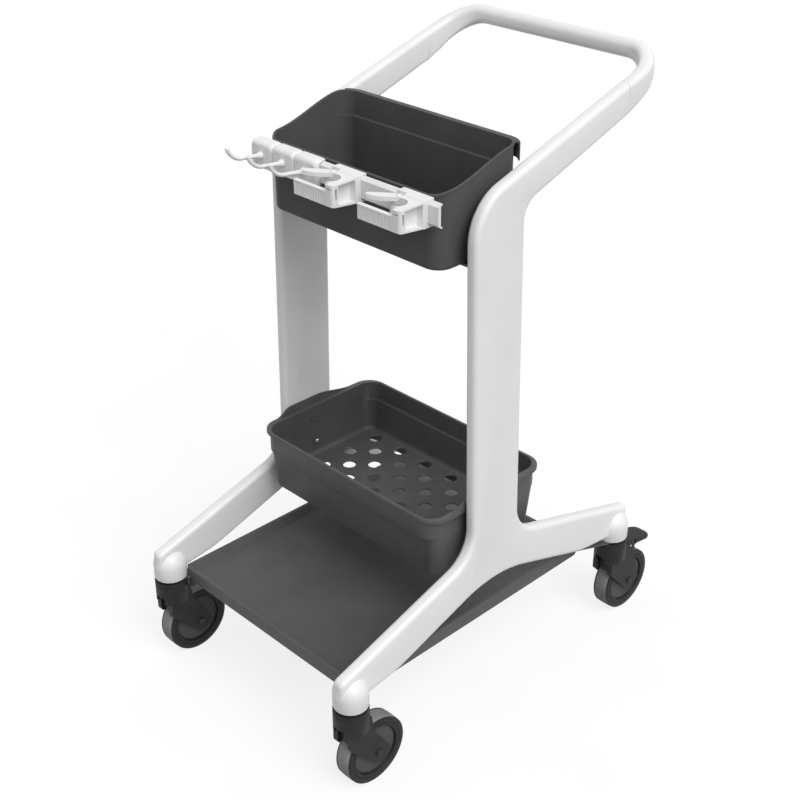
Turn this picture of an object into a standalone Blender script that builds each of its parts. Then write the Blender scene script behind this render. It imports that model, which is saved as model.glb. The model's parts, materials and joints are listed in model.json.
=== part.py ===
"""Wheeled utility trolley: two leaning side frames, push handle, top bin, basket, base tray, castors.

Metres, +Z up. The trolley is pushed towards -Y, the handle is at +Y, and left is -X.
"""
import math

import bmesh
import bpy
from mathutils import Matrix, Vector

# Stance: the four castor axes stand on a rectangle, with the floor at z = 0.
WHEELBASE = 0.672
TRACK = 0.486
CLEARANCE = 0.0003
CUT_PAST = 0.010

# Side frame: a flat moulding that leans inwards, cut from one outline in Y and Z.
FRAME_THICKNESS = 0.024
FRAME_EDGE_RADIUS = 0.0090
FRAME_LEAN_RATIO = 0.023
FRAME_LEAN_RISE = 0.035
UPRIGHT_CENTRE = -0.005
UPRIGHT_WIDTH = 0.111
LEG_ROOT_RISE = 0.152
LEG_NOSE = 0.0285
LEG_END_RISE = 0.0588
LEG_END_LIFT = 0.0012
LEG_NOSE_FILLET = 0.012
ARCH_RISE = 0.0946
ARCH_KNEE_OFFSET = 0.235
ARCH_KNEE_RISE = 0.018
LEG_FILLET = 0.065
ARCH_FILLET = 0.12
KNEE_FILLET = 0.15
ARM_ROOT_HEIGHT = 0.9334
ARM_ROOT_DEPTH = 0.0610
ARM_END = 0.294
ARM_END_HEIGHT = 1.0326
ARM_END_DEPTH = 0.0531
FRONT_BEND_RADIUS = 0.090
BACK_BEND_RADIUS = 0.038

# Round leg ends that hold the castor stems.
KNOB_RADIUS = 0.030
KNOB_SHOULDER_RISE = 0.0245
KNOB_DOME = 0.030
KNOB_DOME_DEGREES = (0, 28, 52, 74)
KNOB_EDGE = 0.002

# Push handle: one U-shaped bar plugged into both arms.
GRIP_CENTRE = 0.391
GRIP_HEIGHT = 1.0827
GRIP_THICKNESS = 0.0314
GRIP_DEPTH = 0.0286
HANDLE_CORNER_RADIUS = 0.062
HANDLE_SLOPE_RATIO = 0.70
SPIGOT_LENGTH = 0.036
SPIGOT_RATIO = 0.55
SPIGOT_ROUND_RATIO = 0.6
SPIGOT_END_GAP = 0.001
GRIP_ROUND_RATIO = 0.92

# Top bin with a rim that climbs towards the back.
BIN_SIDE_GAP = 0.0127
BIN_FRONT = -0.0985
BIN_DEPTH = 0.173
BIN_FLOOR = 0.8405
BIN_HEIGHT = 0.122
BIN_BACK_CLIMB = 0.0445
BIN_CORNER_RISE = 0.006
BIN_CORNER = 0.030
BIN_WALL = 0.003
BIN_LEDGE_DROP = 0.042
BIN_LEDGE_DEPTH = 0.006
BIN_LEDGE_RIM_GAP = 0.008
BIN_RIM_LIP = 0.0016
BIN_LIP_HEIGHT = 0.0040
BIN_LIP_CHAMFER = 0.0008
BIN_BOTTOM_ROUND = 0.006
HANGER_REACH = 0.010
HANGER_DROP = 0.030
HANGER_WALL = 0.0025
HANGER_WIDTH = 0.372
HANGER_EDGE = 0.0015
HANGER_TOP_DROP = 0.0005

# Brackets that carry the bin on the uprights.
BRACKET_LENGTH = 0.070
BRACKET_WALL = 0.004
BRACKET_HEIGHT = 0.085
BRACKET_SHELF = 0.045
BRACKET_SCREW_SPACING = 0.036
BRACKET_SCREW_RISE = 0.058
BRACKET_BEND = 0.003

# Lower basket with a stepped rim band and a holed floor.
BASKET_SIDE_GAP = 0.0016
BASKET_FRONT = -0.128
BASKET_DEPTH = 0.2745
BASKET_HEIGHT = 0.120
BASKET_BAND = 0.041
BASKET_STEP = 0.006
BASKET_FLOOR = 0.293
BASKET_DRAFT = 0.008
BASKET_CORNER = 0.034
BASKET_WALL = 0.003
BASKET_LIP = 0.0022
BASKET_LIP_HEIGHT = 0.0045
BASKET_LIP_CHAMFER = 0.0009
BASKET_EDGE = 0.001
BASKET_FOOT_EDGE = 0.002
BASKET_BOTTOM_ROUND = 0.010
BASKET_FLOOR_RISE = 0.017
BASKET_FOOT = 0.006
TAB_RISE = 0.0105
TAB_LENGTH = 0.101
TAB_RAMP = 0.010
DRAIN_DIAMETER = 0.024
DRAIN_STEP = 0.0335
DRAIN_MARGIN = 0.009
BASKET_SCREW_DROP = 0.0245
BASKET_SCREW_RISE = 0.045
BASKET_BOSS_RADIUS = 0.0102
BASKET_BOSS_PAD = 0.0012

# Base tray: shallow pan with corners cut round the leg ends.
TRAY_SIDE_GAP = 0.0026
TRAY_END_GAP = 0.02175
TRAY_DROP = 0.009
TRAY_HEIGHT = 0.018
TRAY_RECESS = 0.005
TRAY_RIM = 0.007
TRAY_SLOPE = 0.008
TRAY_WALL = 0.003
TRAY_NOTCH_GAP = 0.004
TRAY_EAR_RADIUS = 0.0235
TRAY_EAR_WALL = 0.0034
TRAY_RIB_WALL = 0.0025
TRAY_RIB_INSET = 0.002
TRAY_EDGE = 0.0025
TRAY_EAR_ROOT = 0.004
TRAY_EAR_RATIO = 0.8

# Tool rail on the bin front, with lips that flare back.
RAIL_LENGTH = 0.420
RAIL_DROP = 0.0226
RAIL_DEPTH = 0.0137
RAIL_WEB_HEIGHT = 0.029
RAIL_LIP_HEIGHT = 0.0398
RAIL_LIP_REACH = 0.0075
RAIL_LIP_WALL = 0.0024
RAIL_FOOT_OFFSET = 0.007
RAIL_WEB = 0.0025
RAIL_SCREW_OFFSET = 0.100
RAIL_HOLE_PAST = 0.001

# Modules that hold on to the rail lips.
MODULE_HALF_HEIGHT = 0.0222
MODULE_BASE = 0.010
MODULE_HOOK_WALL = 0.0020
MODULE_TOP_ROUND = 0.008

# Three hooks at the left end of the rail.
HOOK_WIDTH = 0.0535
HOOK_END_GAP = 0.0005
HOOK_COUNT = 3
HOOK_ROD_RADIUS = 0.0030
HOOK_RUN = 0.036
HOOK_RISE = 0.004
HOOK_BEND_RADIUS = 0.034
HOOK_BEND_DEG = 72.0
HOOK_BOSS_RADIUS = 0.0065
HOOK_BOSS_LENGTH = 0.006
HOOK_ROOT_DEPTH = 0.004
HOOK_TIP_ROUND = 0.0016
HOOK_BEND_STEPS = 6

# Two shaft clips to the right of the hooks.
CLIP_LENGTH = 0.092
CLIP_REACH = 0.058
CLIP_HOOK_GAP = 0.002
CLIP_SPACING = 0.0525
CLIP_BASE_LEFT = 0.030
CLIP_WALL = 0.008
CLIP_SLOT_END = 0.030
CLIP_CORNER = 0.006
CLIP_BASE_ROUND = 0.003
CLIP_WALL_STEP = 0.0005
CLIP_LIP_ROUND = 0.003
CLIP_MOUTH_ROUND = 0.002
CLIP_POCKET_DEPTH = 0.012
CLIP_POCKET_RATIO = 0.7
CLIP_ROOT = 0.001
CLIP_POCKET_WALL = 0.001
CLIP_BACK_ARM = 0.0185
CLIP_FRONT_WALL_TOP = 0.0075
CLIP_TOWER_LENGTH = 0.016
CLIP_TOP_FRONT = 0.0185
CLIP_TOP_BACK = 0.0205
CLIP_BOTTOM_FRONT = 0.0160
CLIP_PLATE = 0.0026
CLIP_RIB_COUNT = 7
CLIP_RIB_DEPTH = 0.0008
CLIP_RIB_WIDTH = 0.004
CLIP_RIB_FLANK = 0.0005
CLIP_RIB_MARGIN = 0.004
JAW_THICKNESS = 0.008
JAW_ROOT_RADIUS = 0.0075
JAW_TIP_RADIUS = 0.0035
JAW_PIVOT_LEFT = 0.040
JAW_PIVOT_REACH = 0.0105
JAW_TIP_REACH = 0.0215
JAW_PIN_RADIUS = 0.002
JAW_PIN_GRIP = 0.010
JAW_PIN_HEAD = 0.0012
JAW_OVERHANG = 0.002
JAW_ROOM = 0.004
JAW_RECESS_BACK = 0.0025

# Castors: wheel, fork and threaded stem.
WHEEL_DIAMETER = 0.125
WHEEL_TRAIL = 0.040
WHEEL_WIDTH = 0.0320
TREAD_WIDTH = 0.0276
TREAD_DEPTH = 0.0085
RIM_FLANGE_GAP = 0.0005
HUB_BOSS_RADIUS = 0.011
HUB_DISC_RADIUS = 0.044
HUB_RECESS = 0.0045
AXLE_RADIUS = 0.004
AXLE_HEAD_RADIUS = 0.0075
AXLE_HEAD_HEIGHT = 0.0030
FORK_INSIDE = 0.0183
FORK_ARM_WALL = 0.0045
FORK_HEAD_RISE = 0.0035
FORK_HEAD_HEIGHT = 0.0457
FORK_EAR_GAP = 0.0011
FORK_HEAD_RADIUS = 0.0303
FORK_ARM_DEG = 46.8
FORK_ARM_LOWER = 0.0166
FORK_ARM_UPPER = 0.0185
FORK_ARM_END = 0.0215
FORK_END_FILLET = 0.010
FORK_ROOT_BACK = 0.030
FORK_ROOT_DROP = 0.010
FORK_ROOT_STEP = 0.006
FORK_LUG_STEP = 0.002
FORK_CORNER = 0.004
FORK_WHEEL_GAP = 0.0045
STEM_RADIUS = 0.006
STEM_GRIP = 0.027
STEM_HEAD_RADIUS = 0.010
STEM_HEAD_RISE = 0.003
STEM_HEAD_HEIGHT = 0.0065
STEM_HEAD_ROOM = 0.0008
STEM_EDGE = 0.001
FORK_HEAD_EDGE = 0.0015
FORK_GROOVE_DEPTH = 0.0014
FORK_GROOVE_DROP = 0.0080
FORK_GROOVE_HALF = 0.0010
FORK_TOP_EDGE = 0.002
AXLE_CROWN_RATIO = 0.85
HUB_SLOPE = 0.002

# Foot brake on the rear castors.
PEDAL_PIVOT_BACK = 0.0345
PEDAL_PIVOT_RISE = 0.0225
PEDAL_BARREL_RADIUS = 0.0065
PEDAL_PIN_RADIUS = 0.002
PEDAL_TIP_BACK = 0.1015
PEDAL_TIP_DROP = 0.0045
PEDAL_WALL = 0.0045
PEDAL_HALF_WIDTH = 0.0225
PEDAL_LUG = 0.0085
PEDAL_BARREL_ROOM = 0.0025
PEDAL_PIN_PROUD = 0.0008
SHOE_DROP = 0.0115
SHOE_FRONT = 0.008
SHOE_BACK = 0.014
NECK_START = 0.018
NECK_STEP = 0.0015
NECK_RATIO = 0.5
NECK_SHARE_ABOVE = 0.4
PADDLE_CORNER = 0.016
PADDLE_CORNER_DEGREES = (0, 30, 60, 90)
PADDLE_OVERLAP = 0.0005
PADDLE_ROOT_ABOVE = 0.0025
PADDLE_ROOT_BELOW = 0.0030
PADDLE_BEND = 0.011
PADDLE_BEND_RADIUS = 0.02
PADDLE_BEND_RISE = 0.0020
PADDLE_EDGE = 0.0015

# Screws.
SCREW_RADIUS = 0.0022
SCREW_HEAD_RADIUS = 0.0045
SCREW_HEAD_HEIGHT = 0.0022
SCREW_DEPTH = 0.012
SCREW_HOLE_RUN = 0.030
SCREW_CROWN_RATIO = 0.7
RAIL_SCREW_PROUD = 0.0015

# Mesh fineness.
WHEEL_SIDES = 20
ROUND_SIDES = 16
SMALL_SIDES = 10
DRAIN_SIDES = 8
SCREW_SIDES = 8
EDGE_STEPS = 2

# Sizes that follow from the ones above.
HALF_BASE = WHEELBASE / 2
HALF_TRACK = TRACK / 2
WHEEL_RADIUS = WHEEL_DIAMETER / 2
FORK_SKIRT_BOTTOM = WHEEL_DIAMETER + FORK_HEAD_RISE
FORK_TOP = FORK_SKIRT_BOTTOM + FORK_HEAD_HEIGHT
TRAY_EAR_BOTTOM = FORK_TOP + FORK_EAR_GAP
KNOB_BOTTOM = TRAY_EAR_BOTTOM + TRAY_EAR_WALL + CLEARANCE
KNOB_SHOULDER = KNOB_BOTTOM + KNOB_SHOULDER_RISE
KNOB_TOP = KNOB_SHOULDER + KNOB_DOME
LEG_END = HALF_BASE + LEG_NOSE
LEG_END_BOTTOM = KNOB_BOTTOM + LEG_END_LIFT
LEG_END_TOP = KNOB_BOTTOM + LEG_END_RISE
LEG_ROOT_TOP = KNOB_BOTTOM + LEG_ROOT_RISE
ARCH_TOP = KNOB_BOTTOM + ARCH_RISE
ARCH_KNEE_HEIGHT = KNOB_BOTTOM + ARCH_KNEE_RISE
FRAME_LEAN_FROM = KNOB_BOTTOM + FRAME_LEAN_RISE
STEM_TOP = KNOB_BOTTOM + STEM_GRIP
STEM_HEAD_BOTTOM = WHEEL_DIAMETER + STEM_HEAD_RISE
TRAY_BOTTOM = KNOB_BOTTOM - TRAY_DROP
TRAY_TOP = TRAY_BOTTOM + TRAY_HEIGHT
PEDAL_PIVOT_HEIGHT = WHEEL_DIAMETER + PEDAL_PIVOT_RISE
BIN_FRONT_RIM = BIN_FLOOR + BIN_HEIGHT
BIN_BACK_RIM = BIN_FRONT_RIM + BIN_BACK_CLIMB
BIN_LEDGE_HEIGHT = BIN_BACK_RIM - BIN_LEDGE_DROP
BASKET_RIM = BASKET_FLOOR + BASKET_HEIGHT
BASKET_SCREW_UPPER = BASKET_RIM - BASKET_SCREW_DROP
BASKET_SCREW_LOWER = BASKET_FLOOR + BASKET_SCREW_RISE
RAIL_CENTRE_HEIGHT = BIN_FRONT_RIM - RAIL_DROP
RAIL_FRONT = BIN_FRONT - CLEARANCE - RAIL_DEPTH
MODULE_FRONT = RAIL_FRONT - CLEARANCE - MODULE_BASE
FORK_OUTSIDE = FORK_INSIDE + FORK_ARM_WALL
HOOK_START = HOOK_END_GAP - RAIL_LENGTH / 2
CLIP_FIRST_LEFT = HOOK_START + HOOK_COUNT * HOOK_WIDTH + CLIP_HOOK_GAP
CLIP_PITCH = CLIP_LENGTH + CLIP_SPACING
REAR_REACH = HALF_BASE + WHEEL_TRAIL + WHEEL_RADIUS
FRONT_REACH = HALF_BASE + max(KNOB_RADIUS, FORK_HEAD_RADIUS)
ORIGIN_SHIFT = (FRONT_REACH - REAR_REACH) / 2

WHITE = ((0.80, 0.80, 0.79), 0.38, 0.0)
WHITE_MODULE = ((0.78, 0.78, 0.77), 0.45, 0.0)
RAIL_WHITE = ((0.76, 0.76, 0.76), 0.35, 0.0)
BLACK = ((0.030, 0.031, 0.033), 0.50, 0.0)
CHARCOAL = ((0.040, 0.042, 0.045), 0.52, 0.0)
FORK_GREY = ((0.050, 0.052, 0.056), 0.48, 0.0)
WHEEL_GREY = ((0.045, 0.046, 0.050), 0.55, 0.0)
TREAD_GREY = ((0.180, 0.180, 0.185), 0.75, 0.0)
STEEL = ((0.560, 0.570, 0.580), 0.32, 1.0)


def clear_scene():
    for item in list(bpy.data.objects):
        bpy.data.objects.remove(item, do_unlink=True)


def make_empty(name, parent=None, location=(0.0, 0.0, 0.0)):
    empty = bpy.data.objects.new(name, None)
    bpy.context.scene.collection.objects.link(empty)
    empty.parent = parent
    empty.location = location
    return empty


def make_material(name, finish):
    colour, roughness, metallic = finish
    made = bpy.data.materials.new(name)
    made.use_nodes = True
    shader = made.node_tree.nodes["Principled BSDF"]
    shader.inputs["Base Color"].default_value = (*colour, 1.0)
    shader.inputs["Roughness"].default_value = roughness
    shader.inputs["Metallic"].default_value = metallic
    return made


def make_piece(name, bm, finish, parent, location=(0.0, 0.0, 0.0)):
    bmesh.ops.recalc_face_normals(bm, faces=bm.faces)
    mesh = bpy.data.meshes.new(name)
    bm.to_mesh(mesh)
    bm.free()
    piece = bpy.data.objects.new(name, mesh)
    bpy.context.scene.collection.objects.link(piece)
    piece.parent = parent
    piece.location = location
    mesh.materials.append(make_material(name + "_finish", finish))
    return piece


def combine(piece, bm, operation):
    """Join a tool solid to a piece, or take it away, in the piece's own frame."""
    bmesh.ops.recalc_face_normals(bm, faces=bm.faces)
    name = piece.name + "_tool_" + str(len(piece.modifiers))
    mesh = bpy.data.meshes.new(name)
    bm.to_mesh(mesh)
    bm.free()
    tool = bpy.data.objects.new(name, mesh)
    bpy.context.scene.collection.objects.link(tool)
    tool.parent = piece.parent
    tool.location = piece.location
    tool.hide_render = True
    tool.display_type = "WIRE"
    step = piece.modifiers.new(name, "BOOLEAN")
    step.operation = operation
    step.solver = "EXACT"
    step.object = tool


def fuse(piece, bm):
    combine(piece, bm, "UNION")


def cut(piece, bm):
    combine(piece, bm, "DIFFERENCE")


def arc(centre, radius, start_deg, end_deg, steps):
    points = []
    for index in range(steps + 1):
        angle = math.radians(start_deg + (end_deg - start_deg) * index / steps)
        points.append((centre[0] + radius * math.cos(angle), centre[1] + radius * math.sin(angle)))
    return points


def filleted(corners):
    """Outline from (u, v, radius, steps) corners, each rounded by its radius."""
    points = []
    total = len(corners)
    for index, (u, v, radius, steps) in enumerate(corners):
        corner = Vector((u, v))
        before = Vector(corners[index - 1][:2]) - corner
        after = Vector(corners[(index + 1) % total][:2]) - corner
        if radius <= 0.0:
            points.append((u, v))
            continue
        before.normalize()
        after.normalize()
        half = before.angle(after) / 2
        bisector = (before + after).normalized()
        centre = corner + bisector * (radius / math.sin(half))
        first = corner + before * (radius / math.tan(half)) - centre
        last = corner + after * (radius / math.tan(half)) - centre
        turn = first.angle_signed(last)
        for step in range(steps + 1):
            spun = first.copy()
            spun.rotate(Matrix.Rotation(-turn * step / steps, 2))
            points.append((centre.x + spun.x, centre.y + spun.y))
    return points


def loft(rings, closed=False):
    """Skin equal rings of points; the ends are capped unless the rings close on themselves."""
    bm = bmesh.new()
    rows = [[bm.verts.new(point) for point in ring] for ring in rings]
    size = len(rows[0])
    spans = len(rows) if closed else len(rows) - 1
    for index in range(spans):
        row = rows[index]
        following = rows[(index + 1) % len(rows)]
        for side in range(size):
            other = (side + 1) % size
            bm.faces.new((row[side], row[other], following[other], following[side]))
    if not closed:
        bm.faces.new(rows[0])
        bm.faces.new(rows[-1])
    return bm


def prism(outline, low, high, axis):
    """Push an outline along X (drawn in Y, Z), Y (in X, Z) or Z (in X, Y)."""
    rings = []
    for level in (low, high):
        if axis == "X":
            rings.append([(level, u, v) for u, v in outline])
        elif axis == "Y":
            rings.append([(u, level, v) for u, v in outline])
        else:
            rings.append([(u, v, level) for u, v in outline])
    return loft(rings)


def box(low, high):
    outline = [(low[0], low[1]), (high[0], low[1]), (high[0], high[1]), (low[0], high[1])]
    return prism(outline, low[2], high[2], "Z")


def revolve(profile, sides, axis="Z", centre=(0.0, 0.0, 0.0), closed=False, flat_down=False):
    """Turn (radius, height) points round an axis; flat_down puts a flat at the true radius below."""
    scale = 1 / math.cos(math.pi / sides) if flat_down else 1.0
    offset = 0.5 if flat_down else 0.0
    rings = []
    for radius, height in profile:
        ring = []
        for index in range(sides):
            angle = 2 * math.pi * (index + offset) / sides
            across = radius * scale * math.cos(angle)
            along = radius * scale * math.sin(angle)
            if axis == "Z":
                point = (across, along, height)
            elif axis == "X":
                point = (height, along, across)
            else:
                point = (across, height, along)
            ring.append((point[0] + centre[0], point[1] + centre[1], point[2] + centre[2]))
        rings.append(ring)
    return loft(rings, closed)


def rounded_plan(half_width, front, back, radius, corner_steps, side_steps):
    """Rounded rectangle in plan, with extra points along both long-running sides."""
    right = half_width - radius
    points = arc((right, front + radius), radius, -90, 0, corner_steps)
    for index in range(1, side_steps):
        share = index / side_steps
        points.append((half_width, front + radius + (back - front - 2 * radius) * share))
    points += arc((right, back - radius), radius, 0, 90, corner_steps)
    points += arc((-right, back - radius), radius, 90, 180, corner_steps)
    for index in range(1, side_steps):
        share = index / side_steps
        points.append((-half_width, back - radius - (back - front - 2 * radius) * share))
    points += arc((-right, front + radius), radius, 180, 270, corner_steps)
    return points


def smooth_share(value, low, high):
    share = min(max((value - low) / (high - low), 0.0), 1.0)
    return share * share * (3 - 2 * share)


def frame_middle(height):
    """Distance of the side frame's middle plane from the centre line at a height."""
    return HALF_TRACK - FRAME_LEAN_RATIO * (height - FRAME_LEAN_FROM)


def frame_inside(height):
    return frame_middle(height) - FRAME_THICKNESS / 2


def bin_half_width():
    return frame_inside(BIN_BACK_RIM) - BIN_SIDE_GAP - BIN_RIM_LIP


def basket_half_width():
    return frame_inside(BASKET_RIM + TAB_RISE) - BASKET_SIDE_GAP - BASKET_LIP


def arm_middle(y):
    share = (y - UPRIGHT_CENTRE) / (ARM_END - UPRIGHT_CENTRE)
    return ARM_ROOT_HEIGHT + (ARM_END_HEIGHT - ARM_ROOT_HEIGHT) * share


def arm_half_depth(y):
    share = (y - UPRIGHT_CENTRE) / (ARM_END - UPRIGHT_CENTRE)
    return (ARM_ROOT_DEPTH + (ARM_END_DEPTH - ARM_ROOT_DEPTH) * share) / 2


def side_frame_outline():
    front = UPRIGHT_CENTRE - UPRIGHT_WIDTH / 2
    back = UPRIGHT_CENTRE + UPRIGHT_WIDTH / 2
    return filleted([
        (-LEG_END, LEG_END_BOTTOM, 0.0, 0),
        (UPRIGHT_CENTRE - ARCH_KNEE_OFFSET, ARCH_KNEE_HEIGHT, KNEE_FILLET, 2),
        (UPRIGHT_CENTRE, ARCH_TOP, ARCH_FILLET, 5),
        (UPRIGHT_CENTRE + ARCH_KNEE_OFFSET, ARCH_KNEE_HEIGHT, KNEE_FILLET, 2),
        (LEG_END, LEG_END_BOTTOM, 0.0, 0),
        (LEG_END, LEG_END_TOP, LEG_NOSE_FILLET, 3),
        (back, LEG_ROOT_TOP, LEG_FILLET, 6),
        (back, arm_middle(back) - arm_half_depth(back), BACK_BEND_RADIUS, 5),
        (ARM_END, arm_middle(ARM_END) - arm_half_depth(ARM_END), 0.0, 0),
        (ARM_END, arm_middle(ARM_END) + arm_half_depth(ARM_END), 0.0, 0),
        (front, arm_middle(front) + arm_half_depth(front), FRONT_BEND_RADIUS, 7),
        (front, LEG_ROOT_TOP, LEG_FILLET, 6),
        (-LEG_END, LEG_END_TOP, LEG_NOSE_FILLET, 3),
    ])


def inset_outline(outline, inset, square_end):
    """Draw an outline in by an inset; points on the square end slide along that end."""
    moved = []
    total = len(outline)
    for index in range(total):
        here = Vector(outline[index])
        arriving = (here - Vector(outline[index - 1])).normalized()
        leaving = (Vector(outline[(index + 1) % total]) - here).normalized()
        first = Vector((-arriving.y, arriving.x))
        second = Vector((-leaving.y, leaving.x))
        if abs(here.x - square_end) < CLEARANCE:
            normal = first if abs(first.y) > abs(second.y) else second
            moved.append((here.x, here.y + inset / normal.y))
        else:
            step = (first + second) * (inset / (1 + first.dot(second)))
            moved.append((here.x + step.x, here.y + step.y))
    return moved


def section(half_width, half_height, radius):
    """Rounded-rectangle cross-section."""
    points = []
    for turn, (across, up) in enumerate(((1, 1), (-1, 1), (-1, -1), (1, -1))):
        centre = (across * (half_width - radius), up * (half_height - radius))
        points += arc(centre, radius, 90 * turn, 90 * turn + 90, EDGE_STEPS)
    return points


def spigot_ring(side, y, grow):
    """Plug section inside the arm at a distance y, grown by a clearance."""
    height = arm_middle(y)
    half_width = FRAME_THICKNESS / 2 * SPIGOT_RATIO + grow
    half_height = arm_half_depth(ARM_END) * SPIGOT_RATIO + grow
    ring = []
    for across, up in section(half_width, half_height, half_width * SPIGOT_ROUND_RATIO):
        ring.append((side * (frame_middle(height) + across), y, height + up))
    return ring


def build_side_frame(name, side, parent):
    outline = side_frame_outline()
    flat = FRAME_THICKNESS / 2 - FRAME_EDGE_RADIUS
    rounding = arc((flat, FRAME_EDGE_RADIUS), FRAME_EDGE_RADIUS, -90, 0, EDGE_STEPS)
    slices = [(-x, inset) for x, inset in reversed(rounding)] + rounding
    rings = []
    for across, inset in slices:
        ring = []
        for y, z in inset_outline(outline, inset, ARM_END):
            ring.append((side * (across + frame_middle(z)), y, z))
        rings.append(ring)
    frame = make_piece(name, loft(rings), WHITE, parent)
    dome = []
    for angle in KNOB_DOME_DEGREES:
        radius = KNOB_RADIUS * math.cos(math.radians(angle))
        rise = (KNOB_TOP - KNOB_SHOULDER) * math.sin(math.radians(angle))
        dome.append((radius, KNOB_SHOULDER + rise))
    knob = [(KNOB_RADIUS - KNOB_EDGE, KNOB_BOTTOM), (KNOB_RADIUS, KNOB_BOTTOM + KNOB_EDGE)] + dome
    for end in (-HALF_BASE, HALF_BASE):
        fuse(frame, revolve(knob, ROUND_SIDES, centre=(side * HALF_TRACK, end, 0.0)))
    hole_radius = STEM_RADIUS + CLEARANCE
    stem_hole = [(hole_radius, KNOB_BOTTOM - CUT_PAST), (hole_radius, STEM_TOP + CLEARANCE)]
    for end in (-HALF_BASE, HALF_BASE):
        cut(frame, revolve(stem_hole, SMALL_SIDES, centre=(side * HALF_TRACK, end, 0.0)))
    socket_floor = spigot_ring(side, ARM_END - SPIGOT_LENGTH - SPIGOT_END_GAP, CLEARANCE)
    socket_mouth = spigot_ring(side, ARM_END + CUT_PAST, CLEARANCE)
    cut(frame, loft([socket_floor, socket_mouth]))
    for height in (BASKET_SCREW_UPPER, BASKET_SCREW_LOWER):
        cut(frame, screw_hole(side, UPRIGHT_CENTRE, height))
    for offset in (-BRACKET_SCREW_SPACING / 2, BRACKET_SCREW_SPACING / 2):
        cut(frame, screw_hole(side, UPRIGHT_CENTRE + offset, BIN_FLOOR + BRACKET_SCREW_RISE))
    return frame


def screw_hole(side, y, height):
    """Blind hole for a screw, running outwards from the frame's inner face."""
    inside = frame_inside(height)
    low = side * (inside - SCREW_HOLE_RUN)
    high = side * (inside + SCREW_DEPTH + CLEARANCE)
    radius = SCREW_RADIUS + CLEARANCE
    return revolve([(radius, low), (radius, high)], SCREW_SIDES, "X", (0.0, y, height))


def build_screw(name, side, y, height, seat, parent):
    """Pan-head screw; its head stands on the seat and its shank runs out into the frame."""
    tip = frame_inside(height) + SCREW_DEPTH
    profile = [
        (SCREW_HEAD_RADIUS * SCREW_CROWN_RATIO, side * (seat - CLEARANCE - SCREW_HEAD_HEIGHT)),
        (SCREW_HEAD_RADIUS, side * (seat - CLEARANCE - SCREW_HEAD_HEIGHT / 2)),
        (SCREW_HEAD_RADIUS, side * (seat - CLEARANCE)),
        (SCREW_RADIUS, side * (seat - CLEARANCE)),
        (SCREW_RADIUS, side * tip),
    ]
    make_piece(name, revolve(profile, SCREW_SIDES, "X", (0.0, y, height)), STEEL, parent)


def handle_height(y):
    """Middle height of the handle: it leaves the arm in line and curls up to the grip."""
    start = ARM_END
    slope = (ARM_END_HEIGHT - ARM_ROOT_HEIGHT) / (ARM_END - UPRIGHT_CENTRE)
    run = GRIP_CENTRE - start
    share = (y - start) / run
    first = arm_middle(start)
    return (
        (2 * share**3 - 3 * share**2 + 1) * first
        + (share**3 - 2 * share**2 + share) * run * slope
        + (3 * share**2 - 2 * share**3) * GRIP_HEIGHT
        + (share**3 - share**2) * run * HANDLE_SLOPE_RATIO)


def handle_ring(along, share):
    """Cross-section of the right-hand half; share runs from 0 at the arm to 1 at the grip."""
    x, y, normal_x, normal_y = along
    height = handle_height(y)
    half_width = FRAME_THICKNESS / 2 + (GRIP_DEPTH / 2 - FRAME_THICKNESS / 2) * share
    first_height = arm_half_depth(ARM_END)
    half_height = first_height + (GRIP_THICKNESS / 2 - first_height) * share
    radius = FRAME_EDGE_RADIUS + (half_width * GRIP_ROUND_RATIO - FRAME_EDGE_RADIUS) * share
    ring = []
    for across, up in section(half_width, half_height, radius):
        ring.append((x + across * normal_x, y + across * normal_y, height + up))
    return ring


def build_push_handle(parent):
    first = ARM_END + CLEARANCE
    corner_start = GRIP_CENTRE - HANDLE_CORNER_RADIUS
    corner_x = frame_middle(GRIP_HEIGHT) - HANDLE_CORNER_RADIUS
    stations = []
    for share in (0.0, 0.5):
        y = first + (corner_start - first) * share
        stations.append((frame_middle(handle_height(y)), y, 1.0, 0.0))
    for angle in (0, 15, 30, 45, 60, 75, 90):
        turn = math.radians(angle)
        x = corner_x + HANDLE_CORNER_RADIUS * math.cos(turn)
        y = corner_start + HANDLE_CORNER_RADIUS * math.sin(turn)
        stations.append((x, y, math.cos(turn), math.sin(turn)))
    shares = []
    travelled = 0.0
    for index, station in enumerate(stations):
        if index:
            last = stations[index - 1]
            travelled += math.hypot(station[0] - last[0], station[1] - last[1])
        shares.append(travelled)
    rings = [spigot_ring(1, ARM_END - SPIGOT_LENGTH, 0.0), spigot_ring(1, first, 0.0)]
    for station, share in zip(stations, shares):
        rings.append(handle_ring(station, share / travelled))
    mirrored = []
    for ring in reversed(rings):
        mirrored.append([(-x, y, z) for x, y, z in ring])
    make_piece("push_handle", loft(rings + mirrored), WHITE, parent)


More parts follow.
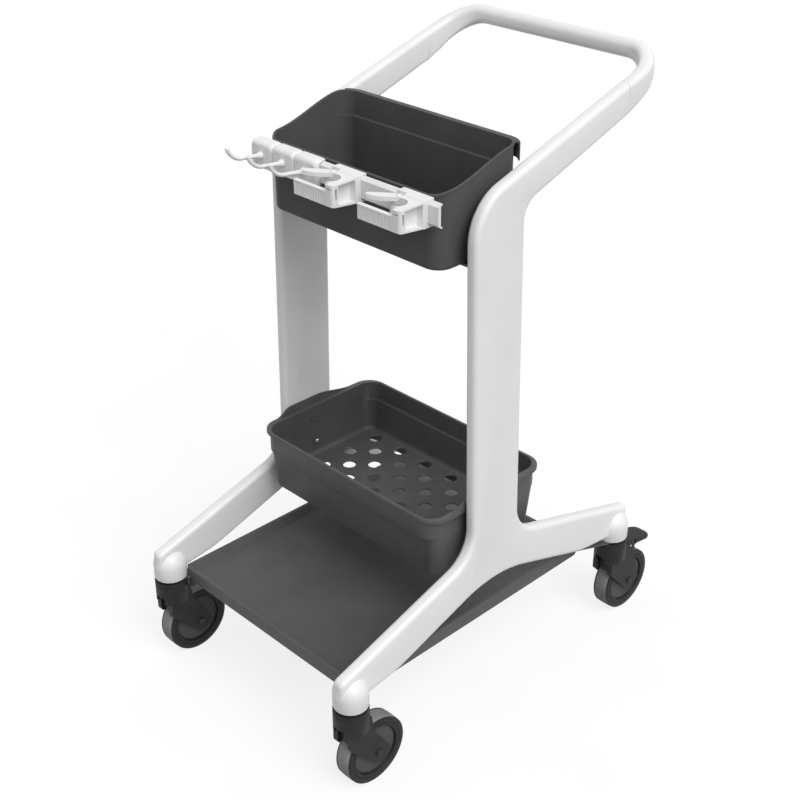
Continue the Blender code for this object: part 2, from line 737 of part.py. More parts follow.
def build_top_bin(parent):
    half = bin_half_width()
    back = BIN_FRONT + BIN_DEPTH
    upper_back = back + BIN_LEDGE_DEPTH

    def rim_height(y):
        corner = BIN_CORNER_RISE * smooth_share(y, BIN_FRONT, BIN_FRONT + BIN_CORNER * 0.85)
        climb = BIN_BACK_RIM - BIN_FRONT_RIM - BIN_CORNER_RISE
        return BIN_FRONT_RIM + corner + climb * smooth_share(y, BIN_FRONT + BIN_CORNER * 0.5, back)

    def level(inset, rear, height):
        plan = rounded_plan(half - inset, BIN_FRONT + inset, rear - inset, BIN_CORNER - inset, 4, 6)
        return [(x, y, height) for x, y in plan]

    def rim_level(inset, drop):
        plan = rounded_plan(half - inset, BIN_FRONT + inset, upper_back - inset, BIN_CORNER - inset, 4, 6)
        return [(x, y, rim_height(y) - drop) for x, y in plan]

    def ledge_level(inset, rear, height):
        """A level below the rim; it dips where the rim is lower than the ledge."""
        plan = rounded_plan(half - inset, BIN_FRONT + inset, rear - inset, BIN_CORNER - inset, 4, 6)
        return [(x, y, min(height, rim_height(y) - BIN_LEDGE_RIM_GAP)) for x, y in plan]

    inner_floor = BIN_FLOOR + BIN_WALL
    rings = [
        level(BIN_BOTTOM_ROUND, back, BIN_FLOOR),
        level(BIN_BOTTOM_ROUND * 0.3, back, BIN_FLOOR + BIN_BOTTOM_ROUND * 0.3),
        level(0.0, back, BIN_FLOOR + BIN_BOTTOM_ROUND),
        ledge_level(0.0, back, BIN_LEDGE_HEIGHT - BIN_WALL),
        ledge_level(0.0, upper_back, BIN_LEDGE_HEIGHT - BIN_WALL + 0.0005),
        rim_level(0.0, BIN_LIP_HEIGHT),
        rim_level(-BIN_RIM_LIP, BIN_LIP_HEIGHT - BIN_LIP_CHAMFER),
        rim_level(-BIN_RIM_LIP, BIN_LIP_CHAMFER),
        rim_level(-BIN_RIM_LIP + BIN_LIP_CHAMFER, 0.0),
        rim_level(BIN_WALL, 0.0),
        ledge_level(BIN_WALL, upper_back, BIN_LEDGE_HEIGHT),
        ledge_level(BIN_WALL, back, BIN_LEDGE_HEIGHT - 0.0005),
        level(BIN_WALL, back, inner_floor + BIN_BOTTOM_ROUND),
        level(BIN_WALL + BIN_BOTTOM_ROUND * 0.3, back, inner_floor + BIN_BOTTOM_ROUND * 0.3),
        level(BIN_WALL + BIN_BOTTOM_ROUND, back, inner_floor),
    ]
    top_bin = make_piece("top_bin", loft(rings), BLACK, parent)
    lip_back = upper_back + HANGER_REACH
    lip_top = BIN_BACK_RIM - HANGER_TOP_DROP
    lip = [
        (upper_back - BIN_WALL * 0.6, lip_top),
        (upper_back - BIN_WALL * 0.6, lip_top - HANGER_WALL),
        (lip_back - HANGER_WALL, lip_top - HANGER_WALL),
        (lip_back - HANGER_WALL, lip_top - HANGER_DROP),
        (lip_back, lip_top - HANGER_DROP),
        (lip_back, lip_top - HANGER_EDGE),
        (lip_back - HANGER_EDGE, lip_top),
    ]
    fuse(top_bin, prism(lip, -HANGER_WIDTH / 2, HANGER_WIDTH / 2, "X"))
    radius = SCREW_RADIUS + CLEARANCE
    hole = [(radius, BIN_FRONT - CUT_PAST), (radius, BIN_FRONT + BIN_WALL + CUT_PAST)]
    for offset in (-RAIL_SCREW_OFFSET, RAIL_SCREW_OFFSET):
        cut(top_bin, revolve(hole, SCREW_SIDES, "Y", (offset, 0.0, RAIL_CENTRE_HEIGHT)))


def build_bin_bracket(name, side, parent):
    shelf_top = BIN_FLOOR - CLEARANCE
    shelf_bottom = shelf_top - BRACKET_WALL
    plate_top = BIN_FLOOR + BRACKET_HEIGHT
    outer_low = frame_inside(shelf_bottom) - CLEARANCE
    outer_high = frame_inside(plate_top) - CLEARANCE
    inner_low = frame_inside(shelf_top) - CLEARANCE - BRACKET_WALL
    shelf_end = outer_low - BRACKET_SHELF
    corners = [
        (side * shelf_end, shelf_bottom, 0.0, 0),
        (side * outer_low, shelf_bottom, BRACKET_BEND, 2),
        (side * outer_high, plate_top, 0.0, 0),
        (side * (outer_high - BRACKET_WALL), plate_top, 0.0, 0),
        (side * inner_low, shelf_top, BRACKET_BEND, 2),
        (side * shelf_end, shelf_top, 0.0, 0),
    ]
    low = UPRIGHT_CENTRE - BRACKET_LENGTH / 2
    high = UPRIGHT_CENTRE + BRACKET_LENGTH / 2
    bracket = make_piece(name, prism(filleted(corners), low, high, "Y"), CHARCOAL, parent)
    height = BIN_FLOOR + BRACKET_SCREW_RISE
    for offset in (-BRACKET_SCREW_SPACING / 2, BRACKET_SCREW_SPACING / 2):
        cut(bracket, screw_hole(side, UPRIGHT_CENTRE + offset, height))


def build_lower_basket(parent):
    half = basket_half_width()
    back = BASKET_FRONT + BASKET_DEPTH
    centre = BASKET_FRONT + BASKET_DEPTH / 2
    step_height = BASKET_RIM - BASKET_BAND

    def plan(inset):
        return rounded_plan(half - inset, BASKET_FRONT + inset, back - inset, BASKET_CORNER - inset, 3, 10)

    def level(inset, height):
        return [(x, y, height) for x, y in plan(inset)]

    def rim_level(inset, drop):
        ring = []
        for x, y in plan(inset):
            rise = 0.0
            if abs(x) > half - 2 * BASKET_WALL:
                near = abs(y - UPRIGHT_CENTRE)
                rise = TAB_RISE * (1 - smooth_share(near, TAB_LENGTH / 2 - TAB_RAMP, TAB_LENGTH / 2))
            ring.append((x, y, BASKET_RIM + rise - drop))
        return ring

    low_inset = BASKET_STEP + BASKET_DRAFT
    underside = BASKET_FLOOR + BASKET_FLOOR_RISE
    inner_floor = underside + BASKET_WALL
    bend = BASKET_BOTTOM_ROUND
    floor_inset = BASKET_WALL + basket_wall_inset(inner_floor + bend)
    rings = [
        level(low_inset + BASKET_FOOT, underside),
        level(low_inset + BASKET_FOOT, BASKET_FLOOR),
        level(low_inset + BASKET_FOOT_EDGE, BASKET_FLOOR),
        level(low_inset, BASKET_FLOOR + BASKET_FOOT_EDGE),
        level(BASKET_STEP, step_height),
        level(0.0, step_height + BASKET_EDGE),
        rim_level(0.0, BASKET_LIP_HEIGHT),
        rim_level(-BASKET_LIP, BASKET_LIP_HEIGHT - BASKET_LIP_CHAMFER),
        rim_level(-BASKET_LIP, BASKET_LIP_CHAMFER),
        rim_level(-BASKET_LIP + BASKET_LIP_CHAMFER, 0.0),
        rim_level(BASKET_WALL, 0.0),
        level(BASKET_WALL, step_height + BASKET_WALL + 2 * BASKET_EDGE),
        level(BASKET_WALL + BASKET_STEP, step_height + BASKET_WALL + BASKET_EDGE),
        level(floor_inset, inner_floor + bend),
        level(floor_inset + bend * 0.3, inner_floor + bend * 0.3),
        level(floor_inset + bend, inner_floor),
    ]
    basket = make_piece("lower_basket", loft(rings), CHARCOAL, parent)
    for side in (-1, 1):
        for height in (BASKET_SCREW_UPPER, BASKET_SCREW_LOWER):
            outer = frame_inside(height) - CLEARANCE
            inner = basket_wall_outside(height) - BASKET_WALL - BASKET_BOSS_PAD
            boss = [(BASKET_BOSS_RADIUS, side * inner), (BASKET_BOSS_RADIUS, side * outer)]
            fuse(basket, revolve(boss, SMALL_SIDES, "X", (0.0, UPRIGHT_CENTRE, height)))
    for side in (-1, 1):
        for height in (BASKET_SCREW_UPPER, BASKET_SCREW_LOWER):
            cut(basket, screw_hole(side, UPRIGHT_CENTRE, height))
    reach_x = half - floor_inset - bend - DRAIN_MARGIN
    reach_y = BASKET_DEPTH / 2 - floor_inset - bend - DRAIN_MARGIN
    columns = int(reach_x / DRAIN_STEP)
    rows = int(reach_y / DRAIN_STEP)
    radius = DRAIN_DIAMETER / 2
    drain = [(radius, BASKET_FLOOR), (radius, inner_floor + BASKET_WALL)]
    for column in range(-columns, columns + 1):
        for row in range(-rows, rows + 1):
            if (column + row) % 2 == 0:
                spot = (column * DRAIN_STEP, centre + row * DRAIN_STEP, 0.0)
                cut(basket, revolve(drain, DRAIN_SIDES, centre=spot, flat_down=True))


def basket_wall_inset(height):
    """How far the basket's outer wall stands in from its rim band at a height."""
    step_height = BASKET_RIM - BASKET_BAND
    if height > step_height:
        return 0.0
    return BASKET_STEP + BASKET_DRAFT * (step_height - height) / (step_height - BASKET_FLOOR)


def basket_wall_outside(height):
    return basket_half_width() - basket_wall_inset(height)


def tray_plan(inset):
    """Rectangle with each corner cut round a castor axis."""
    half_width = frame_inside(TRAY_TOP) - TRAY_SIDE_GAP - inset
    half_length = HALF_BASE - TRAY_END_GAP - inset
    radius = KNOB_RADIUS + TRAY_NOTCH_GAP + inset
    along_side = math.sqrt(max(radius**2 - (HALF_TRACK - half_width) ** 2, 1e-8))
    along_end = math.sqrt(max(radius**2 - (HALF_BASE - half_length) ** 2, 1e-8))
    start = math.degrees(math.atan2(-(HALF_BASE - half_length), -along_end))
    end = math.degrees(math.atan2(-along_side, -(HALF_TRACK - half_width)))
    corner = arc((0.0, 0.0), radius, start, end, 5)
    points = [(HALF_TRACK + x, HALF_BASE + y) for x, y in corner]
    points += [(HALF_TRACK + x, -HALF_BASE - y) for x, y in reversed(corner)]
    points += [(-HALF_TRACK - x, -HALF_BASE - y) for x, y in corner]
    points += [(-HALF_TRACK - x, HALF_BASE + y) for x, y in reversed(corner)]
    return points


def build_base_tray(parent):
    def level(inset, height):
        return [(x, y, height) for x, y in tray_plan(inset)]

    recess_floor = TRAY_TOP - TRAY_RECESS
    underside = recess_floor - TRAY_WALL
    rings = [
        level(TRAY_WALL, underside),
        level(TRAY_WALL, TRAY_BOTTOM),
        level(0.0, TRAY_BOTTOM),
        level(0.0, TRAY_TOP - TRAY_EDGE),
        level(TRAY_EDGE, TRAY_TOP),
        level(TRAY_RIM, TRAY_TOP),
        level(TRAY_RIM + TRAY_SLOPE, recess_floor),
    ]
    tray = make_piece("base_tray", loft(rings), CHARCOAL, parent)
    rib_low = TRAY_BOTTOM + TRAY_RIB_INSET
    rib_high = underside + TRAY_WALL / 3
    half_rib = TRAY_RIB_WALL / 2
    long_reach = HALF_BASE - TRAY_END_GAP - TRAY_WALL / 2
    wide_reach = frame_inside(TRAY_TOP) - TRAY_SIDE_GAP - TRAY_WALL / 2
    for x in (-wide_reach / 3, wide_reach / 3):
        fuse(tray, box((x - half_rib, -long_reach, rib_low), (x + half_rib, long_reach, rib_high)))
    for y in (-long_reach / 2.5, long_reach / 2.5):
        fuse(tray, box((-wide_reach, y - half_rib, rib_low), (wide_reach, y + half_rib, rib_high)))
    ear_top = KNOB_BOTTOM - CLEARANCE
    for side in (-1, 1):
        for end in (-1, 1):
            centre = Vector((side * HALF_TRACK, end * HALF_BASE))
            inward = Vector((-side, -end)).normalized()
            heading = math.degrees(math.atan2(inward.y, inward.x))
            root = centre + inward * (KNOB_RADIUS + TRAY_NOTCH_GAP + TRAY_WALL + TRAY_EAR_ROOT)
            ear = arc(centre, TRAY_EAR_RADIUS, heading + 90, heading + 270, 6)
            ear += arc(root, TRAY_EAR_RADIUS * TRAY_EAR_RATIO, heading - 90, heading + 90, 3)
            fuse(tray, prism(ear, TRAY_EAR_BOTTOM, ear_top, "Z"))
    radius = STEM_RADIUS + CLEARANCE
    hole = [(radius, TRAY_EAR_BOTTOM - CUT_PAST), (radius, ear_top + CUT_PAST)]
    for side in (-1, 1):
        for end in (-1, 1):
            cut(tray, revolve(hole, SMALL_SIDES, centre=(side * HALF_TRACK, end * HALF_BASE, 0.0)))


def build_tool_rail(parent):
    web = RAIL_WEB_HEIGHT / 2
    tip = RAIL_LIP_HEIGHT / 2
    foot = RAIL_FOOT_OFFSET
    upper = [
        (0.0, web),
        (RAIL_LIP_REACH, tip),
        (RAIL_LIP_REACH + RAIL_LIP_WALL * 0.8, tip - RAIL_LIP_WALL * 0.8),
        (RAIL_WEB, web - RAIL_LIP_WALL * 0.6),
        (RAIL_WEB, foot + RAIL_WEB / 2),
        (RAIL_DEPTH, foot + RAIL_WEB / 2),
        (RAIL_DEPTH, foot - RAIL_WEB / 2),
        (RAIL_WEB, foot - RAIL_WEB / 2),
    ]
    lower = [(y, -z) for y, z in reversed(upper)]
    outline = [(RAIL_FRONT + y, RAIL_CENTRE_HEIGHT + z) for y, z in upper + lower]
    bm = prism(outline, -RAIL_LENGTH / 2, RAIL_LENGTH / 2, "X")
    rail = make_piece("tool_rail", bm, RAIL_WHITE, parent)
    head = SCREW_HEAD_RADIUS + CLEARANCE
    shank = SCREW_RADIUS + CLEARANCE
    hole = [
        (head + RAIL_HOLE_PAST, RAIL_FRONT - RAIL_HOLE_PAST),
        (head, RAIL_FRONT),
        (shank, RAIL_FRONT + RAIL_WEB - CLEARANCE),
        (shank, RAIL_FRONT + RAIL_WEB + RAIL_HOLE_PAST),
    ]
    shaft = [
        (SCREW_HEAD_RADIUS - CLEARANCE, RAIL_FRONT + CLEARANCE),
        (SCREW_RADIUS, RAIL_FRONT + RAIL_WEB),
        (SCREW_RADIUS, BIN_FRONT + BIN_WALL + RAIL_SCREW_PROUD),
    ]
    for name, offset in (("rail_screw_left", -RAIL_SCREW_OFFSET), ("rail_screw_right", RAIL_SCREW_OFFSET)):
        spot = (offset, 0.0, RAIL_CENTRE_HEIGHT)
        cut(rail, revolve(hole, SCREW_SIDES, "Y", spot))
        make_piece(name, revolve(shaft, SCREW_SIDES, "Y", spot), STEEL, parent)


def module_profile(top_round):
    """Side view of a module's base: a plate in front of the rail with a hook behind each lip."""
    web = RAIL_WEB_HEIGHT / 2 + CLEARANCE
    tip = RAIL_LIP_HEIGHT / 2
    hook_front = RAIL_LIP_REACH + RAIL_LIP_WALL * 0.8 + CLEARANCE
    hook_back = hook_front + MODULE_HOOK_WALL
    hook_end = tip - RAIL_LIP_WALL * 1.9
    top = MODULE_HALF_HEIGHT
    front = -CLEARANCE - MODULE_BASE
    slant = math.hypot(RAIL_LIP_REACH, tip - RAIL_WEB_HEIGHT / 2)
    lift = CLEARANCE * 1.3 * slant / RAIL_LIP_REACH
    upper = arc((front + top_round, top - top_round), top_round, 180, 90, 4)
    upper += [
        (hook_back, top),
        (hook_back, hook_end),
        (hook_front, hook_end),
        (hook_front, tip + lift),
        (RAIL_LIP_REACH, tip + lift),
        (-CLEARANCE, web + lift),
    ]
    lower = [
        (-CLEARANCE, -web - lift),
        (RAIL_LIP_REACH, -tip - lift),
        (hook_front, -tip - lift),
        (hook_front, -hook_end),
        (hook_back, -hook_end),
        (hook_back, -top),
        (front, -top),
    ]
    return [(RAIL_FRONT + y, RAIL_CENTRE_HEIGHT + z) for y, z in upper + lower]


def build_hook(name, index, parent):
    left = HOOK_START + index * HOOK_WIDTH
    right = left + HOOK_WIDTH - CLEARANCE
    middle = (left + right) / 2
    bm = prism(module_profile(MODULE_TOP_ROUND), left, right, "X")
    hook = make_piece(name, bm, WHITE_MODULE, parent)
    root_height = RAIL_CENTRE_HEIGHT
    path = [
        (MODULE_FRONT + HOOK_ROOT_DEPTH, root_height, 180.0),
        (MODULE_FRONT - HOOK_BOSS_LENGTH, root_height, 180.0),
    ]
    low_y = MODULE_FRONT - HOOK_RUN
    low_z = root_height + HOOK_RISE
    for step in range(HOOK_BEND_STEPS + 1):
        turn = HOOK_BEND_DEG * step / HOOK_BEND_STEPS
        y = low_y - HOOK_BEND_RADIUS * math.sin(math.radians(turn))
        z = low_z + HOOK_BEND_RADIUS * (1 - math.cos(math.radians(turn)))
        path.append((y, z, 180.0 - turn))
    sizes = [HOOK_BOSS_RADIUS, HOOK_BOSS_RADIUS * 0.8] + [HOOK_ROD_RADIUS] * (HOOK_BEND_STEPS + 1)
    end_y, end_z, end_turn = path[-1]
    lean = math.radians(end_turn)
    tip_y = end_y + HOOK_TIP_ROUND * math.cos(lean)
    tip_z = end_z + HOOK_TIP_ROUND * math.sin(lean)
    path.append((tip_y, tip_z, end_turn))
    sizes.append(HOOK_ROD_RADIUS * 0.6)
    rings = []
    for (y, z, heading), radius in zip(path, sizes):
        turn = math.radians(heading)
        across = (-math.sin(turn), math.cos(turn))
        ring = []
        for side in range(SCREW_SIDES):
            angle = 2 * math.pi * side / SCREW_SIDES
            out = radius * math.cos(angle)
            ring.append((middle + radius * math.sin(angle), y + out * across[0], z + out * across[1]))
        rings.append(ring)
    fuse(hook, loft(rings))


def clip_outline():
    """Plan of the clip, from its left end and forward of the module front: a C open to the left."""
    reach = CLIP_REACH
    inner = reach - CLIP_WALL
    slot_right = CLIP_LENGTH - CLIP_SLOT_END
    slot_middle = (inner + CLIP_BACK_ARM) / 2
    slot_radius = (inner - CLIP_BACK_ARM) / 2
    points = [(CLIP_BASE_LEFT, CLIP_ROOT), (CLIP_LENGTH, CLIP_ROOT)]
    points += arc((CLIP_LENGTH - CLIP_CORNER, reach - CLIP_CORNER), CLIP_CORNER, 0, 90, 4)
    first_rib = CLIP_LENGTH - CLIP_TOWER_LENGTH - CLIP_RIB_MARGIN
    pitch = (first_rib - CLIP_RIB_MARGIN) / CLIP_RIB_COUNT
    for index in range(CLIP_RIB_COUNT):
        right = first_rib - index * pitch
        points += [
            (right, reach),
            (right - CLIP_RIB_FLANK, reach + CLIP_RIB_DEPTH),
            (right - CLIP_RIB_WIDTH, reach + CLIP_RIB_DEPTH),
            (right - CLIP_RIB_WIDTH - CLIP_RIB_FLANK, reach),
        ]
    points += arc((CLIP_LIP_ROUND, reach - CLIP_LIP_ROUND), CLIP_LIP_ROUND, 90, 180, 3)
    points += arc((CLIP_MOUTH_ROUND, inner + CLIP_MOUTH_ROUND), CLIP_MOUTH_ROUND, 180, 270, 2)
    points += arc((slot_right, slot_middle), slot_radius, 90, -90, 10)
    points.append((CLIP_BASE_LEFT, CLIP_BACK_ARM))
    return points


def clip_top(forward):
    share = min(max(forward / CLIP_REACH, 0.0), 1.0)
    return CLIP_TOP_BACK + (CLIP_TOP_FRONT - CLIP_TOP_BACK) * share


def clip_bottom(forward):
    return (MODULE_HALF_HEIGHT - CLIP_BOTTOM_FRONT) * forward / CLIP_REACH - MODULE_HALF_HEIGHT


def build_clip(label, left, parent):
    """Clip body in a frame whose origin is at the clip's left end on the rail front."""
    slide = make_empty("clip_slide_" + label, parent, (left, RAIL_FRONT, RAIL_CENTRE_HEIGHT))
    outline = clip_outline()
    underside = [(u, -v, clip_bottom(v)) for u, v in outline]
    upper_side = [(u, -v, clip_top(v)) for u, v in outline]
    body = make_piece("clip_body_" + label, loft([underside, upper_side]), WHITE_MODULE, slide)
    profile = [(y - RAIL_FRONT, z - RAIL_CENTRE_HEIGHT) for y, z in module_profile(CLIP_BASE_ROUND)]
    fuse(body, prism(profile, CLIP_BASE_LEFT, CLIP_LENGTH, "X"))
    wall_back = CLIP_WALL + CLIP_WALL_STEP - CLIP_REACH
    tower_left = CLIP_LENGTH - CLIP_TOWER_LENGTH
    above = CLIP_TOP_BACK + CUT_PAST
    step_low = (-CUT_PAST, -CLIP_REACH - CUT_PAST, CLIP_FRONT_WALL_TOP)
    cut(body, box(step_low, (tower_left, wall_back, above)))
    pocket_left = CLIP_LENGTH - CLIP_POCKET_DEPTH
    pocket_front = CLIP_REACH - CLIP_TOWER_LENGTH * CLIP_POCKET_RATIO
    pocket_back = MODULE_BASE + CLIP_POCKET_WALL
    pocket = [
        (-pocket_front, clip_bottom(pocket_front) + CLIP_PLATE),
        (-pocket_back, clip_bottom(pocket_back) + CLIP_PLATE),
        (-pocket_back, clip_top(pocket_back) - CLIP_PLATE),
        (-pocket_front, clip_top(pocket_front) - CLIP_PLATE),
    ]
    cut(body, prism(pocket, pocket_left, CLIP_LENGTH + CUT_PAST, "X"))
    jaw_low = CLIP_TOP_FRONT - JAW_THICKNESS
    recess_low = (CLIP_BASE_LEFT - CUT_PAST, -CLIP_BACK_ARM - CLIP_PLATE, jaw_low - CLEARANCE)
    recess_high = (JAW_PIVOT_LEFT + JAW_ROOT_RADIUS + JAW_ROOM, -JAW_RECESS_BACK, above)
    cut(body, box(recess_low, recess_high))
    pin_spot = (JAW_PIVOT_LEFT, -JAW_PIVOT_REACH, 0.0)
    pin_bottom = jaw_low - JAW_PIN_GRIP
    hole_radius = JAW_PIN_RADIUS + CLEARANCE
    pin_hole = [(hole_radius, pin_bottom - CLEARANCE), (hole_radius, above)]
    cut(body, revolve(pin_hole, SMALL_SIDES, centre=pin_spot))
    pivot = make_empty("clip_pivot_" + label, slide, pin_spot)
    length = JAW_PIVOT_LEFT + JAW_OVERHANG - JAW_TIP_RADIUS
    drop = JAW_TIP_REACH - JAW_PIVOT_REACH
    heading = math.degrees(math.atan2(-drop, -length))
    tip = (-length, -drop)
    plan = arc((0.0, 0.0), JAW_ROOT_RADIUS, heading - 270, heading - 90, 8)
    plan += arc(tip, JAW_TIP_RADIUS, heading - 90, heading + 90, 5)
    bm = prism(plan, jaw_low, CLIP_TOP_FRONT, "Z")
    jaw = make_piece("clip_jaw_" + label, bm, WHITE_MODULE, pivot)
    through = [(hole_radius, jaw_low - CUT_PAST), (hole_radius, above)]
    cut(jaw, revolve(through, SMALL_SIDES))
    pin = [
        (JAW_PIN_RADIUS, pin_bottom),
        (JAW_PIN_RADIUS, CLIP_TOP_FRONT + CLEARANCE),
        (JAW_PIN_RADIUS * 2, CLIP_TOP_FRONT + CLEARANCE),
        (JAW_PIN_RADIUS * 1.6, CLIP_TOP_FRONT + CLEARANCE + JAW_PIN_HEAD),
    ]
    make_piece("clip_pin_" + label, revolve(pin, SMALL_SIDES, centre=pin_spot), STEEL, slide)


def build_castor(label, side, end, braked, parent):
    """Castor in a frame on its swivel axis; the wheel trails towards +Y."""
    swivel = make_empty("swivel_" + label, parent, (side * HALF_TRACK, end * HALF_BASE, 0.0))
    axle_spot = (0.0, WHEEL_TRAIL, WHEEL_RADIUS)
    pivot_spot = (0.0, PEDAL_PIVOT_BACK, PEDAL_PIVOT_HEIGHT)

    lug_top = PEDAL_PIVOT_HEIGHT + PEDAL_LUG
    lug_back = PEDAL_PIVOT_BACK + PEDAL_LUG
    front = -math.sqrt(FORK_HEAD_RADIUS**2 - FORK_OUTSIDE**2)
    fall = math.radians(FORK_ARM_DEG)
    along = Vector((math.cos(fall), -math.sin(fall)))
    across = Vector((math.sin(fall), math.cos(fall)))
    end_middle = Vector((WHEEL_TRAIL, WHEEL_RADIUS)) + along * FORK_ARM_END
    end_low = end_middle - across * FORK_ARM_LOWER
    end_high = end_middle + across * FORK_ARM_UPPER
    front_low = end_low.y + (end_low.x - front) * math.tan(fall)
    root_height = WHEEL_DIAMETER - FORK_ROOT_DROP
    inside_head = FORK_SKIRT_BOTTOM + FORK_HEAD_HEIGHT / 2
    arm = [
        (front, inside_head, 0.0, 0),
        (front, front_low, FORK_CORNER, 1),
        (end_low.x, end_low.y, FORK_END_FILLET, 3),
        (end_high.x, end_high.y, FORK_END_FILLET, 3),
    ]
    if braked:
        arm += [
            (lug_back + FORK_LUG_STEP, root_height, 0.0, 0),
            (lug_back, PEDAL_PIVOT_HEIGHT, 0.0, 0),
            (lug_back, lug_top, FORK_CORNER, 2),
            (0.0, lug_top, 0.0, 0),
        ]
    else:
        arm += [
            (FORK_ROOT_BACK, root_height, 0.0, 0),
            (FORK_ROOT_BACK - FORK_ROOT_STEP, inside_head, 0.0, 0),
        ]
    arm = filleted(arm)
    bm = prism(arm, -FORK_OUTSIDE, FORK_OUTSIDE, "X")
    fork = make_piece("castor_fork_" + label, bm, FORK_GREY, swivel)
    groove = FORK_TOP - FORK_GROOVE_DROP
    head = [
        (FORK_HEAD_RADIUS - FORK_HEAD_EDGE, FORK_SKIRT_BOTTOM),
        (FORK_HEAD_RADIUS, FORK_SKIRT_BOTTOM + FORK_HEAD_EDGE),
        (FORK_HEAD_RADIUS, groove - FORK_GROOVE_HALF),
        (FORK_HEAD_RADIUS - FORK_GROOVE_DEPTH, groove),
        (FORK_HEAD_RADIUS, groove + FORK_GROOVE_HALF),
        (FORK_HEAD_RADIUS, FORK_TOP - FORK_TOP_EDGE),
        (FORK_HEAD_RADIUS - FORK_TOP_EDGE, FORK_TOP),
    ]
    fuse(fork, revolve(head, ROUND_SIDES))
    slot = arc((WHEEL_TRAIL, WHEEL_RADIUS), WHEEL_RADIUS + FORK_WHEEL_GAP, 0, 360, 16)[:-1]
    cut(fork, prism(slot, -FORK_INSIDE, FORK_INSIDE, "X"))
    if braked:
        pocket_front = PEDAL_PIVOT_BACK - PEDAL_BARREL_RADIUS - PEDAL_BARREL_ROOM
        pocket_high = (FORK_INSIDE, WHEEL_TRAIL + WHEEL_RADIUS, FORK_TOP + CUT_PAST)
        cut(fork, box((-FORK_INSIDE, pocket_front, WHEEL_RADIUS), pocket_high))
    head_room = STEM_HEAD_RADIUS + STEM_HEAD_ROOM
    head_top = STEM_HEAD_BOTTOM + STEM_HEAD_HEIGHT + CLEARANCE
    bore = [
        (head_room, WHEEL_RADIUS),
        (head_room, head_top),
        (STEM_RADIUS + CLEARANCE, head_top),
        (STEM_RADIUS + CLEARANCE, FORK_TOP + CUT_PAST),
    ]
    cut(fork, revolve(bore, SMALL_SIDES, flat_down=True))
    hole_reach = FORK_OUTSIDE + CUT_PAST
    axle_hole = [(AXLE_RADIUS + CLEARANCE, -hole_reach), (AXLE_RADIUS + CLEARANCE, hole_reach)]
    cut(fork, revolve(axle_hole, SMALL_SIDES, "X", axle_spot))

    stem = [
        (STEM_HEAD_RADIUS - STEM_EDGE, STEM_HEAD_BOTTOM),
        (STEM_HEAD_RADIUS, STEM_HEAD_BOTTOM + STEM_EDGE),
        (STEM_HEAD_RADIUS, STEM_HEAD_BOTTOM + STEM_HEAD_HEIGHT),
        (STEM_RADIUS, STEM_HEAD_BOTTOM + STEM_HEAD_HEIGHT),
        (STEM_RADIUS, STEM_TOP - STEM_EDGE),
        (STEM_RADIUS - STEM_EDGE, STEM_TOP),
    ]
    stem_spot = (side * HALF_TRACK, end * HALF_BASE, 0.0)
    make_piece("castor_stem_" + label, revolve(stem, SMALL_SIDES), STEEL, parent, stem_spot)

    seat = FORK_OUTSIDE + CLEARANCE
    axle = [
        (AXLE_HEAD_RADIUS * AXLE_CROWN_RATIO, -seat - AXLE_HEAD_HEIGHT),
        (AXLE_HEAD_RADIUS, -seat),
        (AXLE_RADIUS, -seat),
        (AXLE_RADIUS, seat),
        (AXLE_HEAD_RADIUS, seat),
        (AXLE_HEAD_RADIUS * AXLE_CROWN_RATIO, seat + AXLE_HEAD_HEIGHT),
    ]
    make_piece("axle_" + label, revolve(axle, SMALL_SIDES, "X"), FORK_GREY, swivel, axle_spot)

    spin = make_empty("spin_" + label, swivel, axle_spot)
    half = WHEEL_WIDTH / 2
    tread_half = TREAD_WIDTH / 2
    bed = WHEEL_RADIUS - TREAD_DEPTH
    flange = WHEEL_RADIUS - RIM_FLANGE_GAP
    boss = FORK_INSIDE - CLEARANCE
    disc = half - HUB_RECESS
    side_profile = [
        (AXLE_RADIUS + CLEARANCE, boss),
        (HUB_BOSS_RADIUS, boss),
        (HUB_BOSS_RADIUS + HUB_SLOPE, disc),
        (HUB_DISC_RADIUS, disc),
        (HUB_DISC_RADIUS + HUB_SLOPE, half),
        (flange, half),
        (flange, tread_half + CLEARANCE),
        (bed - CLEARANCE, tread_half + CLEARANCE),
    ]
    hub = side_profile + [(radius, -across) for radius, across in reversed(side_profile)]
    bm = revolve(hub, WHEEL_SIDES, "X", closed=True, flat_down=True)
    make_piece("wheel_hub_" + label, bm, WHEEL_GREY, spin)
    tread = [
        (bed, -tread_half),
        (WHEEL_RADIUS, -tread_half),
        (WHEEL_RADIUS, tread_half),
        (bed, tread_half),
    ]
    bm = revolve(tread, WHEEL_SIDES, "X", closed=True, flat_down=True)
    make_piece("tyre_" + label, bm, TREAD_GREY, spin)

    if braked:
        build_pedal(label, fork, swivel, pivot_spot)


def paddle_ring(x, tip_y):
    """Side view of the paddle at a distance x across it, out to its edge at tip_y."""
    root = NECK_START - PADDLE_OVERLAP
    tip_z = -PEDAL_TIP_DROP
    outline = filleted([
        (root, PEDAL_BARREL_RADIUS - PADDLE_ROOT_ABOVE, PADDLE_EDGE, 1),
        (root, -PEDAL_BARREL_RADIUS + PADDLE_ROOT_BELOW, PADDLE_EDGE, 1),
        (tip_y - PADDLE_BEND, tip_z - PEDAL_WALL + PADDLE_BEND_RISE, PADDLE_BEND_RADIUS, 2),
        (tip_y, tip_z - PEDAL_WALL, PADDLE_EDGE, 2),
        (tip_y, tip_z - PADDLE_EDGE, PADDLE_EDGE, 2),
        (tip_y - PADDLE_BEND, tip_z + PADDLE_BEND_RISE, PADDLE_BEND_RADIUS, 2),
    ])
    return [(x, y, z) for y, z in outline]


